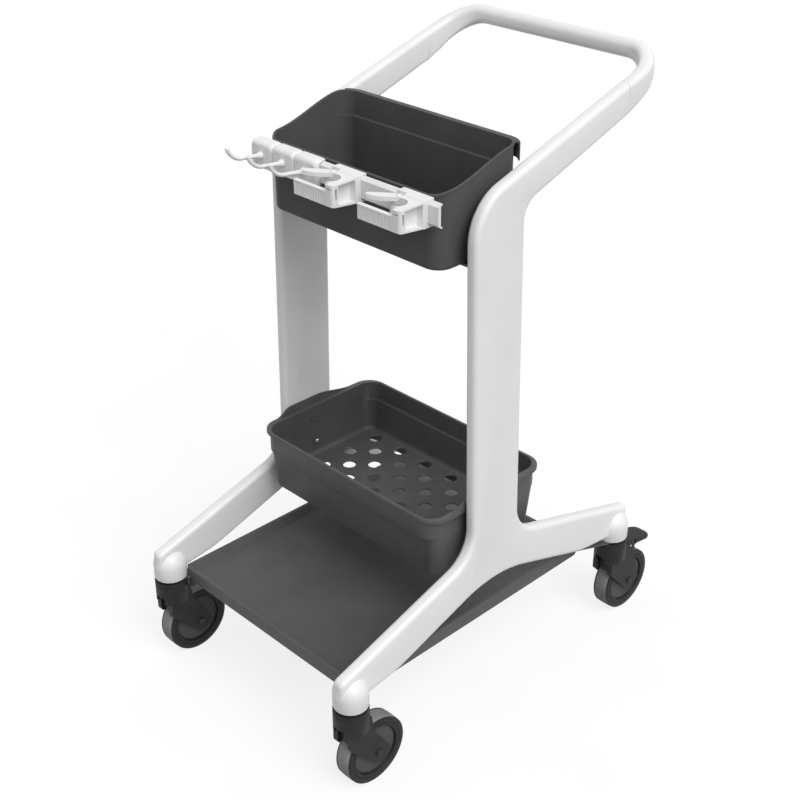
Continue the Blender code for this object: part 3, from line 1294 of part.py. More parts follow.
def build_pedal(label, fork, swivel, pivot_spot):
    """Foot pedal between the fork lugs, with its brake shoe just above the tread."""
    hole_radius = PEDAL_PIN_RADIUS + CLEARANCE
    hole_reach = FORK_OUTSIDE + CUT_PAST
    pin_hole = [(hole_radius, -hole_reach), (hole_radius, hole_reach)]
    cut(fork, revolve(pin_hole, SMALL_SIDES, "X", pivot_spot))
    pivot = make_empty("pedal_pivot_" + label, swivel, pivot_spot)
    tip_y = PEDAL_TIP_BACK - PEDAL_PIVOT_BACK
    tip_z = -PEDAL_TIP_DROP
    barrel = PEDAL_BARREL_RADIUS
    neck_end = tip_y * NECK_RATIO
    neck_drop = tip_z * NECK_RATIO
    neck = arc((0.0, 0.0), barrel, 75, 270, 7)
    neck += [
        (SHOE_FRONT, -barrel - SHOE_DROP),
        (SHOE_BACK, -barrel - SHOE_DROP),
        (NECK_START, -barrel + NECK_STEP),
        (neck_end, neck_drop - PEDAL_WALL * (1 - NECK_SHARE_ABOVE)),
        (neck_end, neck_drop + PEDAL_WALL * NECK_SHARE_ABOVE),
        (NECK_START, barrel - NECK_STEP),
    ]
    half = FORK_INSIDE - CLEARANCE
    bm = prism(neck, -half, half, "X")
    pedal = make_piece("brake_pedal_" + label, bm, FORK_GREY, pivot)
    stations = []
    for angle in PADDLE_CORNER_DEGREES:
        turn = math.radians(angle)
        x = PEDAL_HALF_WIDTH - PADDLE_CORNER + PADDLE_CORNER * math.sin(turn)
        stations.append((x, tip_y - PADDLE_CORNER * (1 - math.cos(turn))))
    rings = [paddle_ring(-x, y) for x, y in reversed(stations)]
    rings += [paddle_ring(x, y) for x, y in stations]
    fuse(pedal, loft(rings))
    cut(pedal, revolve(pin_hole, SMALL_SIDES, "X"))
    reach = FORK_OUTSIDE + PEDAL_PIN_PROUD
    pin = [(PEDAL_PIN_RADIUS, -reach), (PEDAL_PIN_RADIUS, reach)]
    make_piece("pedal_pin_" + label, revolve(pin, SMALL_SIDES, "X"), STEEL, swivel, pivot_spot)


def build():
    clear_scene()
    root = make_empty("trolley", None, (0.0, ORIGIN_SHIFT, 0.0))
    for label, side in (("left", -1), ("right", 1)):
        build_side_frame(label + "_side_frame", side, root)
        build_bin_bracket("bin_bracket_" + label, side, root)
        height = BIN_FLOOR + BRACKET_SCREW_RISE
        seat = frame_inside(height) - CLEARANCE - BRACKET_WALL
        for place, offset in (("front", -1), ("rear", 1)):
            y = UPRIGHT_CENTRE + offset * BRACKET_SCREW_SPACING / 2
            build_screw("bracket_screw_" + label + "_" + place, side, y, height, seat, root)
        for place, height in (("upper", BASKET_SCREW_UPPER), ("lower", BASKET_SCREW_LOWER)):
            seat = basket_wall_outside(height) - BASKET_WALL - BASKET_BOSS_PAD
            build_screw("basket_screw_" + label + "_" + place, side, UPRIGHT_CENTRE, height, seat, root)
    build_push_handle(root)
    build_top_bin(root)
    build_lower_basket(root)
    build_base_tray(root)
    build_tool_rail(root)
    for index, label in enumerate(("left", "middle", "right")):
        build_hook("hook_" + label, index, root)
    for index, label in enumerate(("left", "right")):
        build_clip(label, CLIP_FIRST_LEFT + index * CLIP_PITCH, root)
    for row, end in (("front_", -1), ("rear_", 1)):
        for label, side in (("left", -1), ("right", 1)):
            build_castor(row + label, side, end, end > 0, root)


build()
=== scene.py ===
import json
import math

import bmesh
import bpy
from mathutils import Matrix, Vector

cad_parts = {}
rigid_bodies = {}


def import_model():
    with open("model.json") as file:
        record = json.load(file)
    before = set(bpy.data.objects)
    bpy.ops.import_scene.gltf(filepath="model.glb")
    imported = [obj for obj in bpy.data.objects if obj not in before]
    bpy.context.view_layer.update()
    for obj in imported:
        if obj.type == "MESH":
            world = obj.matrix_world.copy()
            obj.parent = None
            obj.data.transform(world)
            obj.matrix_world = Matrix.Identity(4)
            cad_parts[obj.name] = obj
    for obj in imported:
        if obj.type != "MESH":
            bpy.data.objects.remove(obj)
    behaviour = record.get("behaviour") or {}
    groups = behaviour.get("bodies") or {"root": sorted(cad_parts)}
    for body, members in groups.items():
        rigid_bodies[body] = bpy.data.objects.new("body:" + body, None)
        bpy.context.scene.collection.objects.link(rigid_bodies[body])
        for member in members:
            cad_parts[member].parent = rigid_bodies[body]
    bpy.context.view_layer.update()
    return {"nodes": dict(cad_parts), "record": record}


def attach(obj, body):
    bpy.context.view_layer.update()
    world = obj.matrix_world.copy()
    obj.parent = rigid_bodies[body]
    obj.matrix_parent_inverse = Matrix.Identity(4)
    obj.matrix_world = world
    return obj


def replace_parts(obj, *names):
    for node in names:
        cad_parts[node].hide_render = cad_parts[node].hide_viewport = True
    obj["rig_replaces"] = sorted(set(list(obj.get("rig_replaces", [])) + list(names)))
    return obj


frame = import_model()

# Sizes are in metres: X runs across, Y to the back and Z up from the floor.
# A fillet is a pair: its radius and its number of steps.
ORIGIN = (0.0, 0.0, 0.0)
SHARP = (0.0, 0)
CLEARANCE = 0.0003
CUT_PAST = 0.010

# Stance: the four castor axes stand on a rectangle.
WHEELBASE = 0.672
TRACK = 0.486

# Side frame: a flat moulding that leans inwards, cut from one outline in Y and Z.
FRAME_THICKNESS = 0.024
FRAME_EDGE_RADIUS = 0.0090
FRAME_LEAN_RATIO = 0.023
FRAME_LEAN_RISE = 0.035
UPRIGHT_CENTRE = -0.005
UPRIGHT_WIDTH = 0.111
LEG_ROOT_RISE = 0.152
LEG_NOSE = 0.0285
LEG_END_RISE = 0.0588
LEG_END_LIFT = 0.0012
LEG_NOSE_FILLET = (0.012, 10)
LEG_FILLET = (0.065, 20)
ARCH_RISE = 0.0946
ARCH_KNEE_OFFSET = 0.235
ARCH_KNEE_RISE = 0.018
ARCH_FILLET = (0.24, 20)
KNEE_FILLET = (0.15, 8)
ARM_ROOT_HEIGHT = 0.9334
ARM_ROOT_DEPTH = 0.0610
ARM_END = 0.294
ARM_END_HEIGHT = 1.0326
ARM_END_DEPTH = 0.0531
FRONT_BEND = (0.090, 24)
BACK_BEND = (0.038, 16)

# Round leg ends that hold the castor stems.
KNOB_RADIUS = 0.030
KNOB_SHOULDER_RISE = 0.0245
KNOB_DOME = 0.030
KNOB_EDGE = 0.002
KNOB_STEP_DEG = 6

# Push handle: one U-shaped bar that runs on from both arms.
GRIP_CENTRE = 0.391
GRIP_HEIGHT = 1.0827
GRIP_THICKNESS = 0.0314
GRIP_DEPTH = 0.0286
GRIP_ROUND_RATIO = 0.92
HANDLE_CORNER_RADIUS = 0.062
HANDLE_SLOPE_RATIO = 0.70
HANDLE_STRAIGHT_STEPS = 4
HANDLE_STEP_DEG = 5

# Top bin: a rim that climbs towards the back, and a hanger lip round the rear corners.
BIN_SIDE_GAP = 0.0127
BIN_FRONT = -0.0985
BIN_DEPTH = 0.173
BIN_FLOOR = 0.8405
BIN_HEIGHT = 0.122
BIN_BACK_CLIMB = 0.0445
BIN_CLIMB_START = 0.5
BIN_CORNER = 0.030
BIN_CORNER_RISE = 0.006
BIN_CORNER_RISE_END = 0.85
BIN_WALL = 0.003
BIN_LEDGE_DROP = 0.042
BIN_LEDGE_DEPTH = 0.006
BIN_LEDGE_SLOPE = 0.0005
BIN_LEDGE_RIM_GAP = 0.008
BIN_RIM_LIP = 0.0016
BIN_LIP_HEIGHT = 0.0040
BIN_LIP_CHAMFER = 0.0008
BIN_BOTTOM_ROUND = 0.006
HANGER_REACH = 0.010
HANGER_DROP = 0.030
HANGER_WALL = 0.0025
HANGER_EDGE = 0.0015
HANGER_TOP_DROP = 0.0005
HANGER_LAP_RATIO = 0.6
HANGER_WRAP_DEG = 48.0
HANGER_STEPS = 8

# Lower basket: a stepped rim band, tabs at the uprights and a holed floor.
BASKET_SIDE_GAP = 0.0016
BASKET_FRONT = -0.128
BASKET_DEPTH = 0.2745
BASKET_HEIGHT = 0.120
BASKET_BAND = 0.041
BASKET_STEP = 0.006
BASKET_FLOOR = 0.293
BASKET_DRAFT = 0.008
BASKET_CORNER = 0.034
BASKET_WALL = 0.003
BASKET_LIP = 0.0022
BASKET_LIP_HEIGHT = 0.0070
BASKET_LIP_CHAMFER = 0.0009
BASKET_EDGE = 0.001
BAND_EDGE_SHAPE = ((1.0, 0.2), (0.3, 0.5), (0.0, 1.2))
BASKET_FOOT_EDGE = 0.002
BASKET_BOTTOM_ROUND = 0.010
BASKET_FLOOR_RISE = 0.017
BASKET_FOOT = 0.006
TAB_RISE = 0.0140
TAB_WALL = 0.0030
TAB_FOOT = 0.0006
TAB_FRONT = 0.083
TAB_FRONT_RAMP = 0.034
TAB_BACK = 0.105
TAB_BACK_RAMP = 0.090
DRAIN_DIAMETER = 0.024
DRAIN_STEP = 0.0335
DRAIN_MARGIN = 0.009
DRAIN_CHAMFER = 0.0012
BASKET_SCREW_DROP = 0.0245
BASKET_SCREW_RISE = 0.045
BASKET_BOSS_RADIUS = 0.0102
BASKET_BOSS_PAD = 0.0012

# Base tray: a shallow pan with its front corners cut round the leg ends.
TRAY_SIDE_GAP = 0.0026
TRAY_FRONT_GAP = 0.02175
TRAY_REAR_GAP = 0.074
TRAY_REAR_CORNER = 0.022
TRAY_SIDE_STEPS = 40
TRAY_DROP = 0.009
TRAY_HEIGHT = 0.018
TRAY_RECESS = 0.005
TRAY_RIM = 0.007
TRAY_LIP = 0.0070
TRAY_LIP_FADE = 0.090
TRAY_SLOPE = 0.008
TRAY_SLOPE_SHAPE = ((0.15, 0.04), (0.5, 0.5), (0.85, 0.96), (1.0, 1.0))
TRAY_WALL = 0.003
TRAY_EDGE = 0.0025
TRAY_FOOT_EDGE = 0.0005
TRAY_NOTCH_GAP = 0.001
TRAY_RIB_WALL = 0.0025
TRAY_RIB_INSET = 0.002
TRAY_RIB_LAP = 0.001
TRAY_RIB_SIDE_SHARE = 1 / 3
TRAY_RIB_END_SHARE = 0.4

# Ears that sit on the castors, and a post at each front corner of the tray.
REAR_EAR_RADIUS = 0.0235
REAR_EAR_RATIO = 0.8
REAR_EAR_ROOT = 0.010
FRONT_EAR_RADIUS = 0.0170
FRONT_EAR_ROOT_RADIUS = 0.0100
FRONT_EAR_IN = 0.0260
FRONT_EAR_BACK = 0.0360
TRAY_EAR_WALL = 0.0034
POST_NEAR = 0.0222
POST_FAR = 0.0380
POST_END = 0.0480
POST_DROP = 0.0160
POST_FAR_DROP = 0.0110
POST_LAP = 0.0040
POST_DEPTH = 0.0060

# Tool rail on the bin front, with lips that flare back, feet and end caps.
RAIL_LENGTH = 0.420
RAIL_DROP = 0.0226
RAIL_DEPTH = 0.0137
RAIL_WEB = 0.0025
RAIL_WEB_HEIGHT = 0.029
RAIL_LIP_HEIGHT = 0.0398
RAIL_LIP_REACH = 0.0075
RAIL_LIP_WALL = 0.0024
RAIL_TIP_RATIO = 0.8
RAIL_ROOT_RATIO = 0.6
RAIL_FOOT_OFFSET = 0.007
RAIL_FOOT_STOP = 0.020
RAIL_FOOT_STUB = 0.0001
RAIL_SCREW_OFFSET = 0.100
RAIL_HOLE_PAST = 0.001
RAIL_CAP_WALL = 0.0015
RAIL_CAP_REACH = 0.0055
RAIL_CAP_RATIO = 2

# Modules that hold on to the rail lips.
MODULE_HALF_HEIGHT = 0.0222
MODULE_BASE = 0.010
MODULE_HOOK_WALL = 0.0020
MODULE_HOOK_RATIO = 1.9
MODULE_GAP_RATIO = 1.3
MODULE_TOP_ROUND = 0.008
MODULE_FOOT_ROUND = 0.0015
MODULE_INSET_RATIO = 0.5
MODULE_EDGE_STEPS = 8

# Three hooks at the left end of the rail: a fluted block and a bent rod.
HOOK_WIDTH = 0.0535
HOOK_END_GAP = 0.0005
HOOK_COUNT = 3
HOOK_BLOCK_EDGE = 0.0080
HOOK_BLOCK_FALL = 0.0080
HOOK_ROD_RADIUS = 0.0033
HOOK_RUN = 0.036
HOOK_RISE = 0.004
HOOK_BEND_RADIUS = 0.034
HOOK_BEND_DEG = 72.0
HOOK_BEND_STEPS = 24
HOOK_BOSS_RADIUS = 0.0065
HOOK_BOSS_LENGTH = 0.006
HOOK_BOSS_EDGE = 0.0008
HOOK_BOSS_END_RATIO = 0.82
HOOK_ROOT_DEPTH = 0.004
HOOK_NECK = 0.001
HOOK_NECK_RISE = 0.0002
HOOK_NECK_RATIO = 0.62
HOOK_TIP_ROUND = 0.0016
HOOK_TIP_DEG = 84
HOOK_TIP_STEPS = 5
FLUTE_FIRST = 2
FLUTE_LAST = 4
FLUTE_STEP = 0.0048
FLUTE_RADIUS = 0.0020
FLUTE_OUT_SHARE = 1 / 3
FLUTE_MARGIN = 0.0100
FLUTE_FOOT_MARGIN = 0.0050

# Two shaft clips to the right of the hooks.
CLIP_LENGTH = 0.092
CLIP_REACH = 0.058
CLIP_HOOK_GAP = 0.002
CLIP_SPACING = 0.0525
CLIP_BASE_LEFT = 0.030
CLIP_WALL = 0.008
CLIP_SLOT_END = 0.030
CLIP_CORNER = 0.006
CLIP_BASE_ROUND = 0.003
CLIP_BASE_EDGE = 0.0012
CLIP_WALL_STEP = 0.0005
CLIP_LIP_ROUND = 0.003
CLIP_MOUTH_ROUND = 0.002
CLIP_POCKET_DEPTH = 0.012
CLIP_POCKET_RATIO = 0.7
CLIP_POCKET_WALL = 0.001
CLIP_ROOT = 0.001
CLIP_BACK_ARM = 0.0185
CLIP_FRONT_WALL_TOP = 0.0075
CLIP_TOWER_LENGTH = 0.016
CLIP_TOP_FRONT = 0.0185
CLIP_TOP_BACK = 0.0205
CLIP_BOTTOM_FRONT = 0.0160
CLIP_PLATE = 0.0026

# Sunk panels along the clip's front wall, and slits in its tower.
PANEL_MARGIN = 0.0028
PANEL_ROWS = ((0.0050, 4), (0.0285, 5), (0.0570, 3))
PANEL_STEP = 0.0052
PANEL_WIDTH = 0.0040
PANEL_DEPTH = 0.0009
PANEL_PAST = 0.002
SIDE_SLIT_LENGTH = 0.0100
SIDE_SLIT_DEPTHS = (0.0052, 0.0090)
SIDE_SLIT_HEIGHTS = (-0.0050, 0.0125)
FRONT_SLIT_MARGINS = (0.0015, 0.0035)
FRONT_SLIT_DEPTH = 0.0040
FRONT_SLIT_HEIGHTS = (0.0108, 0.0130)

# Sprung tongue of a clip.
JAW_THICKNESS = 0.008
JAW_ROOT_RADIUS = 0.0075
JAW_PIVOT_LEFT = 0.040
JAW_PIVOT_REACH = 0.0105
JAW_TIP_REACH = 0.0215
JAW_PIN_RADIUS = 0.002
JAW_PIN_GRIP = 0.010
JAW_OVERHANG = 0.002
JAW_ROOM = 0.004
JAW_RECESS_BACK = 0.0025
TONGUE_TIP_RADIUS = 0.0050
TONGUE_FORWARD = 0.0140
TONGUE_BELLY = 0.0100
TONGUE_STEPS = 12

# Castor forks and stems.
FORK_INSIDE = 0.0183
FORK_ARM_WALL = 0.0045
FORK_HEAD_RISE = 0.0035
FORK_HEAD_HEIGHT = 0.0457
FORK_HEAD_RADIUS = 0.0303
FORK_HEAD_EDGE = 0.0015
FORK_TOP_EDGE = 0.002
FORK_EAR_GAP = 0.0011
FORK_ARM_DEG = 46.8
FORK_ARM_LOWER = 0.0166
FORK_ARM_UPPER = 0.0185
FORK_ARM_END = 0.0215
FORK_END_FILLET = (0.010, 12)
FORK_CORNER = (0.004, 6)
FORK_ROOT_BACK = 0.030
FORK_ROOT_DROP = 0.010
FORK_ROOT_STEP = 0.006
FORK_LUG_STEP = 0.002
FORK_WHEEL_GAP = 0.0045
FORK_GROOVE_DEPTH = 0.0014
FORK_GROOVE_DROP = 0.0080
FORK_GROOVE_HALF = 0.0010
FORK_RECESS_HALF = 0.012
FORK_RECESS_DEPTHS = (-0.040, -0.013)
FORK_RECESS_DROP = 0.030
FORK_RECESS_RISE = 0.014
STEM_RADIUS = 0.006
STEM_GRIP = 0.027
STEM_HEAD_RADIUS = 0.010
STEM_HEAD_RISE = 0.003
STEM_HEAD_HEIGHT = 0.0065
STEM_HEAD_ROOM = 0.0008

# Wheels: a hub with a sunk disc and a grooved rim ring, and a crowned tread.
WHEEL_DIAMETER = 0.125
WHEEL_TRAIL = 0.040
WHEEL_WIDTH = 0.0320
AXLE_RADIUS = 0.004
HUB_BOSS_RADIUS = 0.011
HUB_DISC_RADIUS = 0.044
HUB_RECESS = 0.0045
HUB_SLOPE = 0.002
HUB_EDGE = 0.0006
DISC_CROWN = 0.0002
DISC_CROWN_IN = 0.010
RING_FOOT = 0.0003
RING_GROOVE = ((0.0045, 0.0), (0.0052, 0.0009), (0.0060, 0.0009), (0.0067, 0.0))
RIM_FLANGE_GAP = 0.0005
RIM_EDGE = ((0.0022, 0.0), (0.0007, 0.0006))
RIM_SHOULDER = 0.0012
RIM_TURN = 0.0002
TREAD_WIDTH = 0.0276
TREAD_DEPTH = 0.0085
CROWN_FALL = 0.0012
CROWN_FLAT = 0.55
CROWN_STEPS = 12

# Foot brake on the rear castors.
PEDAL_PIVOT_BACK = 0.0345
PEDAL_PIVOT_RISE = 0.0225
PEDAL_BARREL_RADIUS = 0.0065
PEDAL_BARREL_ROOM = 0.0025
PEDAL_BARREL_DEG = (75, 270)
PEDAL_PIN_RADIUS = 0.002
PEDAL_TIP_BACK = 0.1015
PEDAL_TIP_DROP = 0.0045
PEDAL_WALL = 0.0045
PEDAL_HALF_WIDTH = 0.0225
PEDAL_LUG = 0.0085
LUG_REACH = 0.0045
SHOE_DROP = 0.0115
SHOE_FRONT = 0.008
SHOE_BACK = 0.014
NECK_START = 0.018
NECK_STEP = 0.0015
NECK_FILL = 0.0060
NECK_RATIO = 0.5
NECK_SHARE_ABOVE = 0.4
PADDLE_CORNER = 0.016
PADDLE_STEP_DEG = 9
PADDLE_OVERLAP = 0.0005
PADDLE_ROOT_ABOVE = 0.0025
PADDLE_ROOT_BELOW = 0.0030
PADDLE_BEND = 0.011
PADDLE_BEND_FILLET = (0.02, 6)
PADDLE_BEND_RISE = 0.0020
PADDLE_EDGE = 0.0015
PADDLE_ROOT_FILLET = (PADDLE_EDGE, 3)
PADDLE_TIP_FILLET = (PADDLE_EDGE, 5)

# Screws.
SCREW_RADIUS = 0.0022
SCREW_HEAD_RADIUS = 0.0045
SCREW_DEPTH = 0.012
SCREW_HOLE_RUN = 0.030

# Mesh fineness, rounded edges and shading.
EDGE_STEPS = 7
QUARTER_STEPS = 6
WHEEL_SIDES = 96
ROUND_SIDES = 64
BOSS_SIDES = 32
DRAIN_SIDES = 28
HOLE_SIDES = 24
ROD_SIDES = 20
SCREW_SIDES = 16
EASE_SHARE = 0.3
FINE_BEVEL = 0.0005
FORK_BEVEL = 0.0007
TONGUE_BEVEL = 0.0008
BEVEL_SEGMENTS = 2
SHARP_DEG = 32.0
HOOK_SHARP_DEG = 38.0
FRAME_SHARP_DEG = 40.0

# Sizes that follow from the ones above.
HALF_BASE = WHEELBASE / 2
HALF_TRACK = TRACK / 2
WHEEL_RADIUS = WHEEL_DIAMETER / 2
FORK_SKIRT_BOTTOM = WHEEL_DIAMETER + FORK_HEAD_RISE
FORK_TOP = FORK_SKIRT_BOTTOM + FORK_HEAD_HEIGHT
FORK_OUTSIDE = FORK_INSIDE + FORK_ARM_WALL
FORK_HOLE_REACH = FORK_OUTSIDE + CUT_PAST
TRAY_EAR_BOTTOM = FORK_TOP + FORK_EAR_GAP
KNOB_BOTTOM = TRAY_EAR_BOTTOM + TRAY_EAR_WALL + CLEARANCE
KNOB_SHOULDER = KNOB_BOTTOM + KNOB_SHOULDER_RISE
LEG_END = HALF_BASE + LEG_NOSE
LEG_END_BOTTOM = KNOB_BOTTOM + LEG_END_LIFT
LEG_END_TOP = KNOB_BOTTOM + LEG_END_RISE
LEG_ROOT_TOP = KNOB_BOTTOM + LEG_ROOT_RISE
ARCH_TOP = KNOB_BOTTOM + ARCH_RISE
ARCH_KNEE_HEIGHT = KNOB_BOTTOM + ARCH_KNEE_RISE
FRAME_LEAN_FROM = KNOB_BOTTOM + FRAME_LEAN_RISE
STEM_TOP = KNOB_BOTTOM + STEM_GRIP
STEM_HEAD_BOTTOM = WHEEL_DIAMETER + STEM_HEAD_RISE
TRAY_BOTTOM = KNOB_BOTTOM - TRAY_DROP
TRAY_TOP = TRAY_BOTTOM + TRAY_HEIGHT
TRAY_UNDERSIDE = TRAY_TOP - TRAY_RECESS - TRAY_WALL
TRAY_FRONT = TRAY_FRONT_GAP - HALF_BASE
TRAY_REAR = HALF_BASE - TRAY_REAR_GAP
PEDAL_PIVOT_HEIGHT = WHEEL_DIAMETER + PEDAL_PIVOT_RISE
BIN_BACK = BIN_FRONT + BIN_DEPTH
BIN_UPPER_BACK = BIN_BACK + BIN_LEDGE_DEPTH
BIN_FRONT_RIM = BIN_FLOOR + BIN_HEIGHT
BIN_BACK_RIM = BIN_FRONT_RIM + BIN_BACK_CLIMB
BIN_LEDGE_HEIGHT = BIN_BACK_RIM - BIN_LEDGE_DROP
BASKET_RIM = BASKET_FLOOR + BASKET_HEIGHT
BASKET_STEP_HEIGHT = BASKET_RIM - BASKET_BAND
BASKET_UNDERSIDE = BASKET_FLOOR + BASKET_FLOOR_RISE
BASKET_INSIDE = BASKET_UNDERSIDE + BASKET_WALL
BASKET_SCREW_UPPER = BASKET_RIM - BASKET_SCREW_DROP
BASKET_SCREW_LOWER = BASKET_FLOOR + BASKET_SCREW_RISE
RAIL_CENTRE_HEIGHT = BIN_FRONT_RIM - RAIL_DROP
RAIL_FRONT = BIN_FRONT - CLEARANCE - RAIL_DEPTH
RAIL_TIP_STEP = RAIL_LIP_WALL * RAIL_TIP_RATIO
MODULE_FACE = -CLEARANCE - MODULE_BASE
HOOK_START = HOOK_END_GAP - RAIL_LENGTH / 2
CLIP_FIRST_LEFT = HOOK_START + HOOK_COUNT * HOOK_WIDTH + CLIP_HOOK_GAP
CLIP_PITCH = CLIP_LENGTH + CLIP_SPACING
CLIP_ABOVE = CLIP_TOP_BACK + CUT_PAST
JAW_LOW = CLIP_TOP_FRONT - JAW_THICKNESS
REAR_REACH = HALF_BASE + WHEEL_TRAIL + WHEEL_RADIUS
FRONT_REACH = HALF_BASE + max(KNOB_RADIUS, FORK_HEAD_RADIUS)
ORIGIN_SHIFT = (FRONT_REACH - REAR_REACH) / 2

# Finishes: the stretch of a noise that is used, and the ratio of gloss patches to colour clouds.
NOISE_LOW = 0.30
NOISE_HIGH = 0.70
PATCH_RATIO = 6.0
STREAK_STRETCH = (1.0, 1.0, 12.0)

# Floor, light and camera.
FLOOR_SIZE = 16.0
FLOOR_ROWS = 16
FLOOR_PLACE = (-2.0, 2.0, -0.0002)
FLOOR_DARK = (0.19, 0.19, 0.19)
FLOOR_LIGHT = (0.21, 0.21, 0.21)
FLOOR_GLOW = 0.81
WHITE = (1.0, 1.0, 1.0, 1.0)
SUN_FROM = (0.65, -0.10, 0.75)
SUN_STRENGTH = 1.95
SUN_ANGLE_DEG = 40.0
SKY_STRENGTH = 0.54
SKY_SEEN = 1.0
VIEW_AZIMUTH = 45.6214
VIEW_ELEVATION = 29.0078
VIEW_ROLL = 0.119
VIEW_TARGET = (0.0607, -0.0721, 0.5625)
VIEW_DISTANCE = 2.3105
VIEW_LENS = 61.65
VIEW_SENSOR = 36.0
VIEW_SHIFT = (-0.0055, -0.0103)
VIEW_END = 100.0


def between(first, last, share):
    return first + (last - first) * share


def smooth_share(value, low, high):
    share = min(max((value - low) / (high - low), 0.0), 1.0)
    return share * share * (3 - 2 * share)


def mirrored(points):
    """The same points on the other side of the middle, taken backwards."""
    return [(-x, y) for x, y in reversed(points)]


def flipped(points):
    """The same points below the middle line, taken backwards."""
    return [(u, -v) for u, v in reversed(points)]


def arc(centre, radius, start_deg, end_deg, steps):
    points = []
    for index in range(steps + 1):
        angle = math.radians(start_deg + (end_deg - start_deg) * index / steps)
        points.append((centre[0] + radius * math.cos(angle), centre[1] + radius * math.sin(angle)))
    return points


def circle(centre, radius, sides):
    return arc(centre, radius, 0, 360, sides)[:-1]


def quarter(radius):
    """(inset, rise) points of a quarter round, from flat below to upright."""
    points = []
    for index in range(QUARTER_STEPS + 1):
        angle = math.radians(90 * index / QUARTER_STEPS)
        points.append((radius * (1 - math.sin(angle)), radius * (1 - math.cos(angle))))
    return points


def eased(reach, height, edge, up=1):
    """(reach, height) points of an eased edge, from the flat end to the full reach."""
    part = edge * EASE_SHARE
    return [(reach - edge, height), (reach - part, height + up * part), (reach, height + up * edge)]


def filleted(corners):
    """Outline from (u, v, radius, steps) corners, each rounded by its radius."""
    points = []
    total = len(corners)
    for index, (u, v, radius, steps) in enumerate(corners):
        if radius <= 0.0:
            points.append((u, v))
            continue
        corner = Vector((u, v))
        before = (Vector(corners[index - 1][:2]) - corner).normalized()
        after = (Vector(corners[(index + 1) % total][:2]) - corner).normalized()
        half = before.angle(after) / 2
        centre = corner + (before + after).normalized() * (radius / math.sin(half))
        first = corner + before * (radius / math.tan(half)) - centre
        last = corner + after * (radius / math.tan(half)) - centre
        turn = first.angle_signed(last)
        for step in range(steps + 1):
            spun = first.copy()
            spun.rotate(Matrix.Rotation(-turn * step / steps, 2))
            points.append((centre.x + spun.x, centre.y + spun.y))
    return points


def skin(bm, rings, closed=False):
    """Add a skin over equal rings of points, capped at its ends unless the rings close on themselves."""
    rows = [[bm.verts.new(point) for point in ring] for ring in rings]
    size = len(rows[0])
    spans = len(rows) if closed else len(rows) - 1
    for index in range(spans):
        row = rows[index]
        following = rows[(index + 1) % len(rows)]
        for side in range(size):
            other = (side + 1) % size
            bm.faces.new((row[side], row[other], following[other], following[side]))
    if not closed:
        bm.faces.new(rows[0])
        bm.faces.new(rows[-1])
    return bm


def loft(rings, closed=False):
    return skin(bmesh.new(), rings, closed)


def prism_rings(outline, low, high, axis):
    rings = []
    for level in (low, high):
        if axis == "X":
            rings.append([(level, u, v) for u, v in outline])
        elif axis == "Y":
            rings.append([(u, level, v) for u, v in outline])
        else:
            rings.append([(u, v, level) for u, v in outline])
    return rings


def prism(outline, low, high, axis):
    """Push an outline along X (drawn in Y, Z), Y (in X, Z) or Z (in X, Y)."""
    return loft(prism_rings(outline, low, high, axis))


def add_box(bm, low, high):
    outline = [(low[0], low[1]), (high[0], low[1]), (high[0], high[1]), (low[0], high[1])]
    return skin(bm, prism_rings(outline, low[2], high[2], "Z"))


def box(low, high):
    return add_box(bmesh.new(), low, high)


def turned(profile, sides, axis="Z", centre=ORIGIN):
    """Rings of (radius, height) points turned round an axis."""
    rings = []
    for radius, height in profile:
        ring = []
        for index in range(sides):
            angle = 2 * math.pi * index / sides
            across = radius * math.cos(angle)
            along = radius * math.sin(angle)
            if axis == "Z":
                point = (across, along, height)
            elif axis == "X":
                point = (height, along, across)
            else:
                point = (across, height, along)
            ring.append((point[0] + centre[0], point[1] + centre[1], point[2] + centre[2]))
        rings.append(ring)
    return rings


def revolve(profile, sides, axis="Z", centre=ORIGIN, closed=False):
    return loft(turned(profile, sides, axis, centre), closed)


def bore(radius, low, high, axis="Z", centre=ORIGIN, sides=HOLE_SIDES):
    """Round hole for a pin, stem or screw, with a clearance all round."""
    wide = radius + CLEARANCE
    return revolve([(wide, low), (wide, high)], sides, axis, centre)


def rounded_plan(half_width, front, back, radius, corner_steps, side_steps):
    """Rounded rectangle in plan, with extra points along its two sides."""
    right = half_width - radius
    points = arc((right, front + radius), radius, -90, 0, corner_steps)
    for index in range(1, side_steps):
        points.append((half_width, between(front + radius, back - radius, index / side_steps)))
    points += arc((right, back - radius), radius, 0, 90, corner_steps)
    return points + mirrored(points)


def frame_middle(height):
    return HALF_TRACK - FRAME_LEAN_RATIO * (height - FRAME_LEAN_FROM)


def frame_inside(height):
    return frame_middle(height) - FRAME_THICKNESS / 2


def arm_share(y):
    return (y - UPRIGHT_CENTRE) / (ARM_END - UPRIGHT_CENTRE)


def arm_middle(y):
    return between(ARM_ROOT_HEIGHT, ARM_END_HEIGHT, arm_share(y))


def arm_half_depth(y):
    return between(ARM_ROOT_DEPTH, ARM_END_DEPTH, arm_share(y)) / 2


# Making and finishing pieces. A piece is drawn about a place of its own; Y then shifts to the frame's origin.

def make_solid(name, bm, place=ORIGIN):
    bmesh.ops.recalc_face_normals(bm, faces=bm.faces)
    mesh = bpy.data.meshes.new(name)
    bm.to_mesh(mesh)
    bm.free()
    solid = bpy.data.objects.new(name, mesh)
    bpy.context.scene.collection.objects.link(solid)
    solid.location = (place[0], place[1] + ORIGIN_SHIFT, place[2])
    return solid


def combine(solid, bm, operation):
    tool = make_solid(solid.name + "_tool", bm)
    tool.location = solid.location
    step = solid.modifiers.new("shape", "BOOLEAN")
    step.operation = operation
    step.solver = "EXACT"
    step.object = tool


def fuse(solid, bm):
    combine(solid, bm, "UNION")


